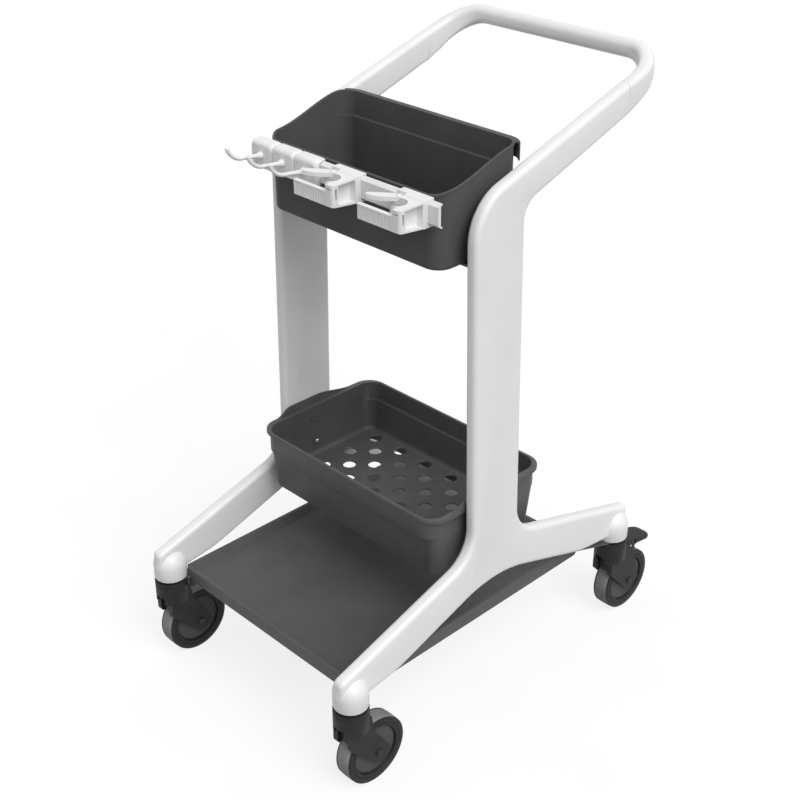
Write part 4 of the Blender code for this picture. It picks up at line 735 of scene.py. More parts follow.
def cut(solid, bm):
    combine(solid, bm, "DIFFERENCE")


def finish_piece(solid, body, nodes, slot, edge=0.0, sharp_deg=SHARP_DEG):
    """Settle the joined shape, shade it, round its edges and hand it to its body."""
    tools = [step.object for step in solid.modifiers]
    if tools:
        bpy.context.view_layer.update()
        joined = solid.evaluated_get(bpy.context.evaluated_depsgraph_get())
        settled = bpy.data.meshes.new_from_object(joined)
        solid.modifiers.clear()
        solid.data = settled
        for tool in tools:
            bpy.data.objects.remove(tool, do_unlink=True)
    mesh = solid.data
    mesh.materials.clear()
    mesh.materials.append(finish_of[slot])
    for face in mesh.polygons:
        face.use_smooth = True
        face.material_index = 0
    mesh.set_sharp_from_angle(angle=math.radians(sharp_deg))
    if edge > 0.0:
        bevel = solid.modifiers.new("edge", "BEVEL")
        bevel.width = edge
        bevel.segments = BEVEL_SEGMENTS
        bevel.limit_method = "ANGLE"
        bevel.angle_limit = math.radians(sharp_deg)
        bevel.use_clamp_overlap = True
        bevel.harden_normals = True
    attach(solid, body)
    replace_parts(solid, *nodes)


# Finishes.

def connect(tree, node, sources):
    for socket, source in sources.items():
        tree.links.new(source, node.inputs[socket])


def add_node(tree, kind, values, sources, **settings):
    """New shader node with its settings, the values of its sockets and what feeds them."""
    made = tree.nodes.new("ShaderNode" + kind)
    for name, value in settings.items():
        setattr(made, name, value)
    for socket, value in values.items():
        made.inputs[socket].default_value = value
    connect(tree, made, sources)
    return made


def start_material(name, roughness, metallic=0.0, gloss=0.5):
    made = bpy.data.materials.new(name)
    made.use_nodes = True
    tree = made.node_tree
    shader = tree.nodes["Principled BSDF"]
    shader.inputs["Roughness"].default_value = roughness
    shader.inputs["Metallic"].default_value = metallic
    shader.inputs["Specular IOR Level"].default_value = gloss
    coords = tree.nodes.new("ShaderNodeTexCoord").outputs["Object"]
    return made, tree, shader, coords


def noise(tree, coords, scale, detail, rough=0.5):
    values = {"Scale": scale, "Detail": detail, "Roughness": rough}
    return add_node(tree, "TexNoise", values, {"Vector": coords}).outputs["Fac"]


def ramp(tree, value, dark, light, low=NOISE_LOW, high=NOISE_HIGH):
    made = add_node(tree, "ValToRGB", {}, {"Fac": value})
    for element, place, colour in zip(made.color_ramp.elements, (low, high), (dark, light)):
        element.position = place
        element.color = (*colour, 1.0)
    return made.outputs["Color"]


def spread(tree, value, middle, down, up):
    values = {"From Min": NOISE_LOW, "From Max": NOISE_HIGH, "To Min": middle - down, "To Max": middle + up}
    return add_node(tree, "MapRange", values, {"Value": value}).outputs["Result"]


def bump(tree, height, strength, distance):
    values = {"Strength": strength, "Distance": distance}
    return add_node(tree, "Bump", values, {"Height": height}).outputs["Normal"]


def moulded(name, dark, light, roughness, grain_scale, grain_strength, cloud_scale=14.0, gloss=0.5):
    """Moulded plastic: slow colour drift, patchy gloss and a fine grain."""
    made, tree, shader, coords = start_material(name, roughness, gloss=gloss)
    drift = noise(tree, coords, scale=cloud_scale, detail=3.0, rough=0.6)
    patches = noise(tree, coords, scale=cloud_scale * PATCH_RATIO, detail=4.0, rough=0.6)
    grain = noise(tree, coords, scale=grain_scale, detail=2.0)
    connect(tree, shader, {
        "Base Color": ramp(tree, drift, dark, light),
        "Roughness": spread(tree, patches, roughness, down=0.05, up=0.06),
        "Normal": bump(tree, grain, strength=grain_strength, distance=0.0003),
    })
    return made


def brushed(name, dark, light, roughness):
    """Plated steel: fine streaks along the piece and a slight tarnish."""
    made, tree, shader, coords = start_material(name, roughness, metallic=1.0)
    stretch = add_node(tree, "Mapping", {"Scale": STREAK_STRETCH}, {"Vector": coords})
    streaks = noise(tree, stretch.outputs["Vector"], scale=180.0, detail=4.0, rough=0.6)
    connect(tree, shader, {
        "Base Color": ramp(tree, streaks, dark, light),
        "Roughness": spread(tree, streaks, roughness, down=0.06, up=0.10),
        "Normal": bump(tree, streaks, strength=0.08, distance=0.0002),
    })
    return made


def wheel_moulding(name, disc_shades, ring_shades, roughness):
    """Wheel plastic: a paler disc inside the dark rim ring, parted by distance from the axle."""
    made, tree, shader, coords = start_material(name, roughness, gloss=0.2)
    flat = add_node(tree, "VectorMath", {1: (0.0, 1.0, 1.0)}, {0: coords}, operation="MULTIPLY")
    reach = add_node(tree, "VectorMath", {}, {0: flat.outputs["Vector"]}, operation="LENGTH")
    stretch = {"From Min": HUB_DISC_RADIUS - HUB_SLOPE, "From Max": HUB_DISC_RADIUS}
    share = add_node(tree, "MapRange", stretch, {"Value": reach.outputs["Value"]})
    drift = noise(tree, coords, scale=60.0, detail=3.0, rough=0.6)
    grain = noise(tree, coords, scale=800.0, detail=2.0)
    # Sockets 6 and 7 of a colour mix are its two colours, and output 2 is the mixed colour.
    mix = add_node(tree, "Mix", {}, {
        "Factor": share.outputs["Result"],
        6: ramp(tree, drift, *disc_shades),
        7: ramp(tree, drift, *ring_shades),
    }, data_type="RGBA")
    connect(tree, shader, {
        "Base Color": mix.outputs[2],
        "Roughness": spread(tree, drift, roughness, down=0.05, up=0.06),
        "Normal": bump(tree, grain, strength=0.12, distance=0.0003),
    })
    return made


def rubber(name, dark, light, roughness):
    """Soft tread: dusty patches over a fine matt grain."""
    made, tree, shader, coords = start_material(name, roughness, gloss=0.25)
    dust = noise(tree, coords, scale=45.0, detail=5.0, rough=0.65)
    grain = noise(tree, coords, scale=900.0, detail=3.0, rough=0.6)
    connect(tree, shader, {
        "Base Color": ramp(tree, dust, dark, light, low=0.32, high=0.68),
        "Roughness": spread(tree, dust, roughness, down=0.08, up=0.10),
        "Normal": bump(tree, grain, strength=0.25, distance=0.0004),
    })
    return made


finish_of = {
    "frame_white": moulded(
        "satin_white_moulding", (0.835, 0.838, 0.838), (0.870, 0.870, 0.866),
        roughness=0.36, grain_scale=1400.0, grain_strength=0.05),
    "module_white": moulded(
        "matt_white_moulding", (0.825, 0.828, 0.828), (0.862, 0.862, 0.858),
        roughness=0.44, grain_scale=1100.0, grain_strength=0.07, cloud_scale=40.0),
    "rail_white": moulded(
        "white_powder_coat", (0.800, 0.803, 0.805), (0.845, 0.846, 0.846),
        roughness=0.40, grain_scale=700.0, grain_strength=0.16, cloud_scale=30.0),
    "bin_black": moulded(
        "grained_black_moulding", (0.086, 0.087, 0.086), (0.102, 0.103, 0.102),
        roughness=0.52, grain_scale=520.0, grain_strength=0.16, gloss=0.08),
    "basket_charcoal": moulded(
        "grained_charcoal_moulding", (0.076, 0.077, 0.077), (0.094, 0.095, 0.095),
        roughness=0.52, grain_scale=520.0, grain_strength=0.16, gloss=0.4),
    "castor_grey": moulded(
        "dark_castor_moulding", (0.016, 0.016, 0.017), (0.025, 0.025, 0.026),
        roughness=0.50, grain_scale=800.0, grain_strength=0.12, cloud_scale=60.0, gloss=0.18),
    "wheel_grey": wheel_moulding(
        "dark_wheel_moulding",
        disc_shades=((0.066, 0.067, 0.068), (0.082, 0.083, 0.084)),
        ring_shades=((0.014, 0.014, 0.015), (0.022, 0.022, 0.023)),
        roughness=0.52),
    "tread_grey": rubber(
        "grey_tread_rubber", (0.235, 0.236, 0.240), (0.300, 0.301, 0.305), roughness=0.72),
    "steel": brushed("plated_steel", (0.62, 0.63, 0.64), (0.76, 0.77, 0.78), roughness=0.40),
}
dark_steel = brushed("blackened_steel", (0.030, 0.031, 0.032), (0.055, 0.056, 0.058), roughness=0.48)


# Side frames and handle.

def side_frame_outline():
    front = UPRIGHT_CENTRE - UPRIGHT_WIDTH / 2
    back = UPRIGHT_CENTRE + UPRIGHT_WIDTH / 2
    return filleted([
        (-LEG_END, LEG_END_BOTTOM, *SHARP),
        (UPRIGHT_CENTRE - ARCH_KNEE_OFFSET, ARCH_KNEE_HEIGHT, *KNEE_FILLET),
        (UPRIGHT_CENTRE, ARCH_TOP, *ARCH_FILLET),
        (UPRIGHT_CENTRE + ARCH_KNEE_OFFSET, ARCH_KNEE_HEIGHT, *KNEE_FILLET),
        (LEG_END, LEG_END_BOTTOM, *SHARP),
        (LEG_END, LEG_END_TOP, *LEG_NOSE_FILLET),
        (back, LEG_ROOT_TOP, *LEG_FILLET),
        (back, arm_middle(back) - arm_half_depth(back), *BACK_BEND),
        (ARM_END, arm_middle(ARM_END) - arm_half_depth(ARM_END), *SHARP),
        (ARM_END, arm_middle(ARM_END) + arm_half_depth(ARM_END), *SHARP),
        (front, arm_middle(front) + arm_half_depth(front), *FRONT_BEND),
        (front, LEG_ROOT_TOP, *LEG_FILLET),
        (-LEG_END, LEG_END_TOP, *LEG_NOSE_FILLET),
    ])


def inset_outline(outline, inset, square_end):
    """Draw an outline in by an inset; points on the square end slide along that end."""
    moved = []
    total = len(outline)
    for index in range(total):
        here = Vector(outline[index])
        arriving = (here - Vector(outline[index - 1])).normalized()
        leaving = (Vector(outline[(index + 1) % total]) - here).normalized()
        first = Vector((-arriving.y, arriving.x))
        second = Vector((-leaving.y, leaving.x))
        if abs(here.x - square_end) < CLEARANCE:
            normal = first if abs(first.y) > abs(second.y) else second
            moved.append((here.x, here.y + inset / normal.y))
        else:
            step = (first + second) * (inset / (1 + first.dot(second)))
            moved.append((here.x + step.x, here.y + step.y))
    return moved


def build_side_frame(name, node, side):
    outline = side_frame_outline()
    flat = FRAME_THICKNESS / 2 - FRAME_EDGE_RADIUS
    rounding = arc((flat, FRAME_EDGE_RADIUS), FRAME_EDGE_RADIUS, -90, 0, EDGE_STEPS)
    rings = []
    for across, inset in mirrored(rounding) + rounding:
        ring = []
        for y, z in inset_outline(outline, inset, ARM_END):
            ring.append((side * (across + frame_middle(z)), y, z))
        rings.append(ring)
    solid = make_solid(name, loft(rings))
    knob = eased(KNOB_RADIUS, KNOB_BOTTOM, KNOB_EDGE)
    for angle in range(0, 90, KNOB_STEP_DEG):
        turn = math.radians(angle)
        knob.append((KNOB_RADIUS * math.cos(turn), KNOB_SHOULDER + KNOB_DOME * math.sin(turn)))
    ends = [(side * HALF_TRACK, y, 0.0) for y in (-HALF_BASE, HALF_BASE)]
    for end in ends:
        fuse(solid, revolve(knob, ROUND_SIDES, centre=end))
    for end in ends:
        cut(solid, bore(STEM_RADIUS, KNOB_BOTTOM - CUT_PAST, STEM_TOP + CLEARANCE, centre=end))
    finish_piece(solid, "trolley", [node], "frame_white", sharp_deg=FRAME_SHARP_DEG)


def handle_height(y):
    """Middle height of the handle: it leaves the arm in line and curls up to the grip."""
    slope = (ARM_END_HEIGHT - ARM_ROOT_HEIGHT) / (ARM_END - UPRIGHT_CENTRE)
    run = GRIP_CENTRE - ARM_END
    share = (y - ARM_END) / run
    return (
        (2 * share**3 - 3 * share**2 + 1) * arm_middle(ARM_END)
        + (share**3 - 2 * share**2 + share) * run * slope
        + (3 * share**2 - 2 * share**3) * GRIP_HEIGHT
        + (share**3 - share**2) * run * HANDLE_SLOPE_RATIO)


def handle_ring(station, share):
    """Rounded cross-section of the right-hand half; share runs from 0 at the arm to 1 at the grip."""
    x, y, normal_x, normal_y = station
    height = handle_height(y)
    half_width = between(FRAME_THICKNESS / 2, GRIP_DEPTH / 2, share)
    half_height = between(arm_half_depth(ARM_END), GRIP_THICKNESS / 2, share)
    radius = between(FRAME_EDGE_RADIUS, half_width * GRIP_ROUND_RATIO, share)
    ring = []
    for turn, (right, top) in enumerate(((1, 1), (-1, 1), (-1, -1), (1, -1))):
        centre = (right * (half_width - radius), top * (half_height - radius))
        for across, up in arc(centre, radius, 90 * turn, 90 * turn + 90, EDGE_STEPS):
            ring.append((x + across * normal_x, y + across * normal_y, height + up))
    return ring


def build_push_handle():
    first = ARM_END + CLEARANCE
    corner_y = GRIP_CENTRE - HANDLE_CORNER_RADIUS
    corner_x = frame_middle(GRIP_HEIGHT) - HANDLE_CORNER_RADIUS
    stations = []
    for step in range(HANDLE_STRAIGHT_STEPS):
        y = between(first, corner_y, step / HANDLE_STRAIGHT_STEPS)
        stations.append((frame_middle(handle_height(y)), y, 1.0, 0.0))
    for angle in range(0, 91, HANDLE_STEP_DEG):
        across = math.cos(math.radians(angle))
        along = math.sin(math.radians(angle))
        x = corner_x + HANDLE_CORNER_RADIUS * across
        stations.append((x, corner_y + HANDLE_CORNER_RADIUS * along, across, along))
    travelled = [0.0]
    for last, station in zip(stations, stations[1:]):
        travelled.append(travelled[-1] + math.hypot(station[0] - last[0], station[1] - last[1]))
    rings = []
    for station, run in zip(stations, travelled):
        rings.append(handle_ring(station, run / travelled[-1]))
    for ring in reversed(rings[:]):
        rings.append([(-x, y, z) for x, y, z in ring])
    solid = make_solid("handle_bar", loft(rings))
    finish_piece(solid, "trolley", ["push_handle"], "frame_white", sharp_deg=FRAME_SHARP_DEG)


# Top bin.

def bin_rim(y):
    corner = BIN_CORNER_RISE * smooth_share(y, BIN_FRONT, BIN_FRONT + BIN_CORNER * BIN_CORNER_RISE_END)
    climb = BIN_BACK_RIM - BIN_FRONT_RIM - BIN_CORNER_RISE
    start = BIN_FRONT + BIN_CORNER * BIN_CLIMB_START
    return BIN_FRONT_RIM + corner + climb * smooth_share(y, start, BIN_BACK)


def hanger_rings(half):
    """Lip that folds out and down from the rim, along the back and round the rear corners."""
    lip = [
        (-BIN_WALL * HANGER_LAP_RATIO, 0.0),
        (-BIN_WALL * HANGER_LAP_RATIO, -HANGER_WALL),
        (HANGER_REACH - HANGER_WALL, -HANGER_WALL),
        (HANGER_REACH - HANGER_WALL, -HANGER_DROP),
        (HANGER_REACH, -HANGER_DROP),
    ]
    lip += reversed(eased(HANGER_REACH, 0.0, HANGER_EDGE, up=-1))
    rings = []
    for side, first_deg in ((1, 90 - HANGER_WRAP_DEG), (-1, 90)):
        for step in range(HANGER_STEPS + 1):
            bearing = math.radians(first_deg + HANGER_WRAP_DEG * step / HANGER_STEPS)
            across = math.cos(bearing)
            along = math.sin(bearing)
            middle_y = BIN_UPPER_BACK - BIN_CORNER
            top = bin_rim(middle_y + BIN_CORNER * along) - HANGER_TOP_DROP
            ring = []
            for out, rise in lip:
                x = side * (half - BIN_CORNER) + (BIN_CORNER + out) * across
                ring.append((x, middle_y + (BIN_CORNER + out) * along, top + rise))
            rings.append(ring)
    return rings


def build_top_bin():
    half = frame_inside(BIN_BACK_RIM) - BIN_SIDE_GAP - BIN_RIM_LIP

    def plan(inset, rear):
        front = BIN_FRONT + inset
        radius = BIN_CORNER - inset
        return rounded_plan(half - inset, front, rear - inset, radius, corner_steps=14, side_steps=30)

    def level(inset, height):
        return [(x, y, height) for x, y in plan(inset, BIN_BACK)]

    def rim_level(inset, drop):
        return [(x, y, bin_rim(y) - drop) for x, y in plan(inset, BIN_UPPER_BACK)]

    def ledge_level(inset, rear, height):
        return [(x, y, min(height, bin_rim(y) - BIN_LEDGE_RIM_GAP)) for x, y in plan(inset, rear)]

    under_ledge = BIN_LEDGE_HEIGHT - BIN_WALL
    bottom = quarter(BIN_BOTTOM_ROUND)
    rings = [level(inset, BIN_FLOOR + rise) for inset, rise in bottom]
    rings += [
        ledge_level(0.0, BIN_BACK, under_ledge),
        ledge_level(0.0, BIN_UPPER_BACK, under_ledge + BIN_LEDGE_SLOPE),
        rim_level(0.0, BIN_LIP_HEIGHT),
        rim_level(-BIN_RIM_LIP, BIN_LIP_HEIGHT - BIN_LIP_CHAMFER),
    ]
    for out, height in reversed(eased(BIN_RIM_LIP, 0.0, BIN_LIP_CHAMFER, up=-1)):
        rings.append(rim_level(-out, -height))
    rings += [
        rim_level(BIN_WALL - BIN_LIP_CHAMFER, 0.0),
        rim_level(BIN_WALL, BIN_LIP_CHAMFER),
        ledge_level(BIN_WALL, BIN_UPPER_BACK, BIN_LEDGE_HEIGHT),
        ledge_level(BIN_WALL, BIN_BACK, BIN_LEDGE_HEIGHT - BIN_LEDGE_SLOPE),
    ]
    rings += [level(BIN_WALL + inset, BIN_FLOOR + BIN_WALL + rise) for inset, rise in reversed(bottom)]
    solid = make_solid("bin_shell", loft(rings))
    fuse(solid, loft(hanger_rings(half)))
    for offset in (-RAIL_SCREW_OFFSET, RAIL_SCREW_OFFSET):
        spot = (offset, 0.0, RAIL_CENTRE_HEIGHT)
        through = BIN_FRONT + BIN_WALL + CUT_PAST
        cut(solid, bore(SCREW_RADIUS, BIN_FRONT - CUT_PAST, through, "Y", spot, SCREW_SIDES))
    finish_piece(solid, "trolley", ["top_bin"], "bin_black")


# Lower basket.

def tab_rise(y):
    """Height of the raised tab over the rim, along the basket's ends."""
    front = UPRIGHT_CENTRE - TAB_FRONT
    back = UPRIGHT_CENTRE + TAB_BACK
    start = smooth_share(y, front, front + TAB_FRONT_RAMP)
    return TAB_RISE * start * (1 - smooth_share(y, back - TAB_BACK_RAMP, back))


def basket_wall_inset(height):
    """How far the outer face of the basket's end walls stands in from its lip at a height."""
    if height > BASKET_STEP_HEIGHT:
        return BASKET_STEP
    share = (BASKET_STEP_HEIGHT - height) / (BASKET_STEP_HEIGHT - BASKET_FLOOR)
    return BASKET_STEP + BASKET_DRAFT * share


def basket_floor_inset():
    return BASKET_WALL + basket_wall_inset(BASKET_INSIDE + BASKET_BOTTOM_ROUND)


def basket_drains(reach_x, reach_y):
    """Staggered drain holes with a chamfer at the top, over the flat of the floor."""
    radius = DRAIN_DIAMETER / 2
    drain = [
        (radius, BASKET_FLOOR),
        (radius, BASKET_INSIDE - DRAIN_CHAMFER),
        (radius + DRAIN_CHAMFER, BASKET_INSIDE),
        (radius + DRAIN_CHAMFER, BASKET_INSIDE + BASKET_WALL),
    ]
    columns = int((reach_x - DRAIN_MARGIN) / DRAIN_STEP)
    rows = int((reach_y - DRAIN_MARGIN) / DRAIN_STEP)
    middle = BASKET_FRONT + BASKET_DEPTH / 2
    drains = bmesh.new()
    for column in range(-columns, columns + 1):
        for row in range(-rows, rows + 1):
            if (column + row) % 2 == 0:
                spot = (column * DRAIN_STEP, middle + row * DRAIN_STEP, 0.0)
                skin(drains, turned(drain, DRAIN_SIDES, centre=spot))
    return drains


def basket_rings(half):
    """Rings up the outer face, over the lip and tabs, and down inside to the floor."""
    back = BASKET_FRONT + BASKET_DEPTH

    def plan(inset, end_inset):
        front = BASKET_FRONT + inset
        radius = BASKET_CORNER - inset
        return rounded_plan(half - end_inset, front, back - inset, radius, corner_steps=12, side_steps=64)

    def level(inset, height):
        return [(x, y, height) for x, y in plan(inset, inset)]

    def step_level(inset, height):
        return [(x, y, height) for x, y in plan(inset, BASKET_STEP)]

    def band_level(inset, height):
        return [(x, y, height) for x, y in plan(inset, inset + BASKET_STEP)]

    def tab_level(inset, drop):
        return [(x, y, BASKET_RIM + tab_rise(y) - drop) for x, y in plan(inset, inset)]

    low_inset = BASKET_STEP + BASKET_DRAFT
    lip_bottom = BASKET_RIM - BASKET_LIP_HEIGHT
    inner_step = BASKET_STEP_HEIGHT + BASKET_WALL
    rings = [
        level(low_inset + BASKET_FOOT, BASKET_UNDERSIDE),
        level(low_inset + BASKET_FOOT, BASKET_FLOOR),
    ]
    rings += [level(-out, height) for out, height in eased(-low_inset, BASKET_FLOOR, BASKET_FOOT_EDGE)]
    rings += [
        step_level(BASKET_STEP, BASKET_STEP_HEIGHT - BASKET_EDGE),
        step_level(BASKET_STEP - BASKET_EDGE, BASKET_STEP_HEIGHT),
    ]
    for inset, rise in BAND_EDGE_SHAPE:
        rings.append(step_level(BASKET_EDGE * inset, BASKET_STEP_HEIGHT + BASKET_EDGE * rise))
    rings += [
        band_level(0.0, lip_bottom - BASKET_EDGE),
        level(-BASKET_LIP + BASKET_LIP_CHAMFER, lip_bottom),
        level(-BASKET_LIP, lip_bottom + BASKET_LIP_CHAMFER),
    ]
    for out, height in reversed(eased(BASKET_LIP, 0.0, BASKET_LIP_CHAMFER, up=-1)):
        rings.append(tab_level(-out, -height))
    rings += [
        tab_level(-BASKET_LIP + TAB_WALL, 0.0),
        level(-BASKET_LIP + TAB_WALL + TAB_FOOT, BASKET_RIM),
        band_level(BASKET_WALL - BASKET_LIP_CHAMFER, BASKET_RIM),
        band_level(BASKET_WALL, BASKET_RIM - BASKET_LIP_CHAMFER),
        band_level(BASKET_WALL, inner_step + 2 * BASKET_EDGE),
        level(BASKET_WALL + BASKET_STEP, inner_step + BASKET_EDGE),
    ]
    for inset, rise in reversed(quarter(BASKET_BOTTOM_ROUND)):
        rings.append(level(basket_floor_inset() + inset, BASKET_INSIDE + rise))
    return rings


def build_lower_basket():
    half = frame_inside(BASKET_RIM + TAB_RISE) - BASKET_SIDE_GAP - BASKET_LIP
    solid = make_solid("basket_shell", loft(basket_rings(half)))
    for side in (-1, 1):
        for height in (BASKET_SCREW_UPPER, BASKET_SCREW_LOWER):
            spot = (0.0, UPRIGHT_CENTRE, height)
            inside = frame_inside(height)
            boss_end = half - basket_wall_inset(height) - BASKET_WALL - BASKET_BOSS_PAD
            boss = [(BASKET_BOSS_RADIUS, side * out) for out in (boss_end, inside - CLEARANCE)]
            fuse(solid, revolve(boss, BOSS_SIDES, "X", spot))
            start = side * (inside - SCREW_HOLE_RUN)
            end = side * (inside + SCREW_DEPTH + CLEARANCE)
            cut(solid, bore(SCREW_RADIUS, start, end, "X", spot, SCREW_SIDES))
    flat_inset = basket_floor_inset() + BASKET_BOTTOM_ROUND
    cut(solid, basket_drains(half - flat_inset, BASKET_DEPTH / 2 - flat_inset))
    finish_piece(solid, "trolley", ["lower_basket"], "basket_charcoal")


# Base tray.

def tray_plan(inset):
    """Rectangle with its front corners cut round the castor axes and its rear corners rounded."""
    half_width = frame_inside(TRAY_TOP) - TRAY_SIDE_GAP - inset
    side_gap = HALF_TRACK - half_width
    front_gap = TRAY_FRONT_GAP + inset
    radius = KNOB_RADIUS + TRAY_NOTCH_GAP + inset
    start = math.degrees(math.atan2(-front_gap, -math.sqrt(radius**2 - front_gap**2)))
    end = math.degrees(math.atan2(-math.sqrt(radius**2 - side_gap**2), -side_gap))
    notch = arc((0.0, 0.0), radius, start, end, steps=18)
    corner = TRAY_REAR_CORNER - inset
    corner_y = TRAY_REAR - inset - corner
    first_y = -HALF_BASE - notch[-1][1]
    points = arc((half_width - corner, corner_y), corner, 90, 0, steps=12)
    for step in range(1, TRAY_SIDE_STEPS):
        points.append((half_width, between(corner_y, first_y, step / TRAY_SIDE_STEPS)))
    points += [(HALF_TRACK + x, -HALF_BASE - y) for x, y in reversed(notch)]
    return points + mirrored(points)


def tray_lip(y):
    """How far the rim stands over the plain height: full at the front and sides, none at the back."""
    return TRAY_LIP * (1 - smooth_share(y, TRAY_REAR - TRAY_LIP_FADE, TRAY_REAR))


def tray_ear(side, end, wide_reach, rear_reach):
    """Plan of the ear at one castor: a tip round the stem and a root under the pan."""
    middle = Vector((side * HALF_TRACK, end * HALF_BASE))
    if end < 0:
        tip_radius = FRONT_EAR_RADIUS
        root_radius = FRONT_EAR_ROOT_RADIUS
        root = middle + Vector((-side * FRONT_EAR_IN, FRONT_EAR_BACK))
    else:
        tip_radius = REAR_EAR_RADIUS
        root_radius = REAR_EAR_RADIUS * REAR_EAR_RATIO
        root = Vector((side * (wide_reach - root_radius), rear_reach - REAR_EAR_ROOT))
    inward = root - middle
    heading = math.degrees(math.atan2(inward.y, inward.x))
    tip = arc(middle, tip_radius, heading + 90, heading + 270, steps=24)
    return tip + arc(root, root_radius, heading - 90, heading + 90, steps=12)


def tray_rings():
    """Rings from under the pan, round its foot and rim, and down the slope to the recess."""
    def level(inset, height):
        return [(x, y, height) for x, y in tray_plan(inset)]

    def rim_level(inset, drop):
        return [(x, y, TRAY_TOP + tray_lip(y) - drop) for x, y in tray_plan(inset)]

    def slope_level(share, drop_share):
        ring = []
        for x, y in tray_plan(TRAY_RIM + TRAY_SLOPE * share):
            ring.append((x, y, TRAY_TOP + tray_lip(y) - (TRAY_RECESS + tray_lip(y)) * drop_share))
        return ring

    rings = [
        level(TRAY_WALL, TRAY_UNDERSIDE),
        level(TRAY_WALL, TRAY_BOTTOM),
        level(TRAY_FOOT_EDGE, TRAY_BOTTOM),
        level(0.0, TRAY_BOTTOM + TRAY_FOOT_EDGE),
    ]
    rings += [rim_level(inset, drop) for inset, drop in reversed(quarter(TRAY_EDGE))]
    rings.append(rim_level(TRAY_RIM, 0.0))
    return rings + [slope_level(share, drop_share) for share, drop_share in TRAY_SLOPE_SHAPE]


def build_base_tray():
    solid = make_solid("tray_pan", loft(tray_rings()))
    rib_low = TRAY_BOTTOM + TRAY_RIB_INSET
    rib_high = TRAY_UNDERSIDE + TRAY_RIB_LAP
    half_rib = TRAY_RIB_WALL / 2
    front_reach = TRAY_FRONT + TRAY_WALL / 2
    rear_reach = TRAY_REAR - TRAY_WALL / 2
    wide_reach = frame_inside(TRAY_TOP) - TRAY_SIDE_GAP - TRAY_WALL / 2
    for x in (-wide_reach * TRAY_RIB_SIDE_SHARE, wide_reach * TRAY_RIB_SIDE_SHARE):
        fuse(solid, box((x - half_rib, front_reach, rib_low), (x + half_rib, rear_reach, rib_high)))
    for y in (front_reach * TRAY_RIB_END_SHARE, rear_reach * TRAY_RIB_END_SHARE):
        fuse(solid, box((-wide_reach, y - half_rib, rib_low), (wide_reach, y + half_rib, rib_high)))
    ear_top = KNOB_BOTTOM - CLEARANCE
    for side in (-1, 1):
        for end in (-1, 1):
            ear = tray_ear(side, end, wide_reach, rear_reach)
            fuse(solid, prism(ear, TRAY_EAR_BOTTOM, ear_top, "Z"))
            spot = (side * HALF_TRACK, end * HALF_BASE, 0.0)
            cut(solid, bore(STEM_RADIUS, TRAY_EAR_BOTTOM - CUT_PAST, ear_top + CUT_PAST, centre=spot))
    post = [
        (POST_NEAR, TRAY_BOTTOM + POST_LAP),
        (POST_NEAR, TRAY_BOTTOM - POST_DROP),
        (POST_FAR, TRAY_BOTTOM - POST_FAR_DROP),
        (POST_END, TRAY_BOTTOM + POST_LAP),
    ]
    for side in (-1, 1):
        outline = [(side * (HALF_TRACK - inward), height) for inward, height in post]
        fuse(solid, prism(outline, TRAY_FRONT, TRAY_FRONT + POST_DEPTH, "Y"))
    finish_piece(solid, "trolley", ["base_tray"], "basket_charcoal")


# Tool rail, hooks and clips.

def build_tool_rail():
    web = RAIL_WEB_HEIGHT / 2
    tip = RAIL_LIP_HEIGHT / 2
    foot = RAIL_FOOT_OFFSET
    upper = [
        (0.0, web),
        (RAIL_LIP_REACH, tip),
        (RAIL_LIP_REACH + RAIL_TIP_STEP, tip - RAIL_TIP_STEP),
        (RAIL_WEB, web - RAIL_LIP_WALL * RAIL_ROOT_RATIO),
        (RAIL_WEB, foot + RAIL_WEB / 2),
        (RAIL_DEPTH, foot + RAIL_WEB / 2),
        (RAIL_DEPTH, foot - RAIL_WEB / 2),
        (RAIL_WEB, foot - RAIL_WEB / 2),
    ]

    def both_halves(half):
        return [(RAIL_FRONT + y, RAIL_CENTRE_HEIGHT + z) for y, z in half + flipped(half)]

    solid = make_solid("rail_profile", prism(both_halves(upper), -RAIL_LENGTH / 2, RAIL_LENGTH / 2, "X"))
    head = SCREW_HEAD_RADIUS + CLEARANCE
    shank = SCREW_RADIUS + CLEARANCE
    hole = [
        (head + RAIL_HOLE_PAST, RAIL_FRONT - RAIL_HOLE_PAST),
        (head, RAIL_FRONT),
        (shank, RAIL_FRONT + RAIL_WEB - CLEARANCE),
        (shank, RAIL_FRONT + RAIL_WEB + RAIL_HOLE_PAST),
    ]
    for offset in (-RAIL_SCREW_OFFSET, RAIL_SCREW_OFFSET):
        cut(solid, revolve(hole, HOLE_SIDES, "Y", (offset, 0.0, RAIL_CENTRE_HEIGHT)))
    cap = both_halves(upper[:3] + [(RAIL_CAP_REACH, tip - RAIL_LIP_WALL * RAIL_CAP_RATIO)])
    foot_front = RAIL_FRONT + RAIL_WEB + RAIL_FOOT_STUB
    foot_back = RAIL_FRONT + RAIL_DEPTH + CUT_PAST
    for side in (-1, 1):
        end = side * RAIL_LENGTH / 2
        left, right = sorted((end - side * RAIL_FOOT_STOP, end + side * CUT_PAST))
        low = (left, foot_front, RAIL_CENTRE_HEIGHT - foot - RAIL_WEB)
        cut(solid, box(low, (right, foot_back, RAIL_CENTRE_HEIGHT + foot + RAIL_WEB)))
        left, right = sorted((end - side * RAIL_CAP_WALL, end))
        fuse(solid, prism(cap, left, right, "X"))
    finish_piece(solid, "trolley", ["tool_rail"], "rail_white", edge=FINE_BEVEL)


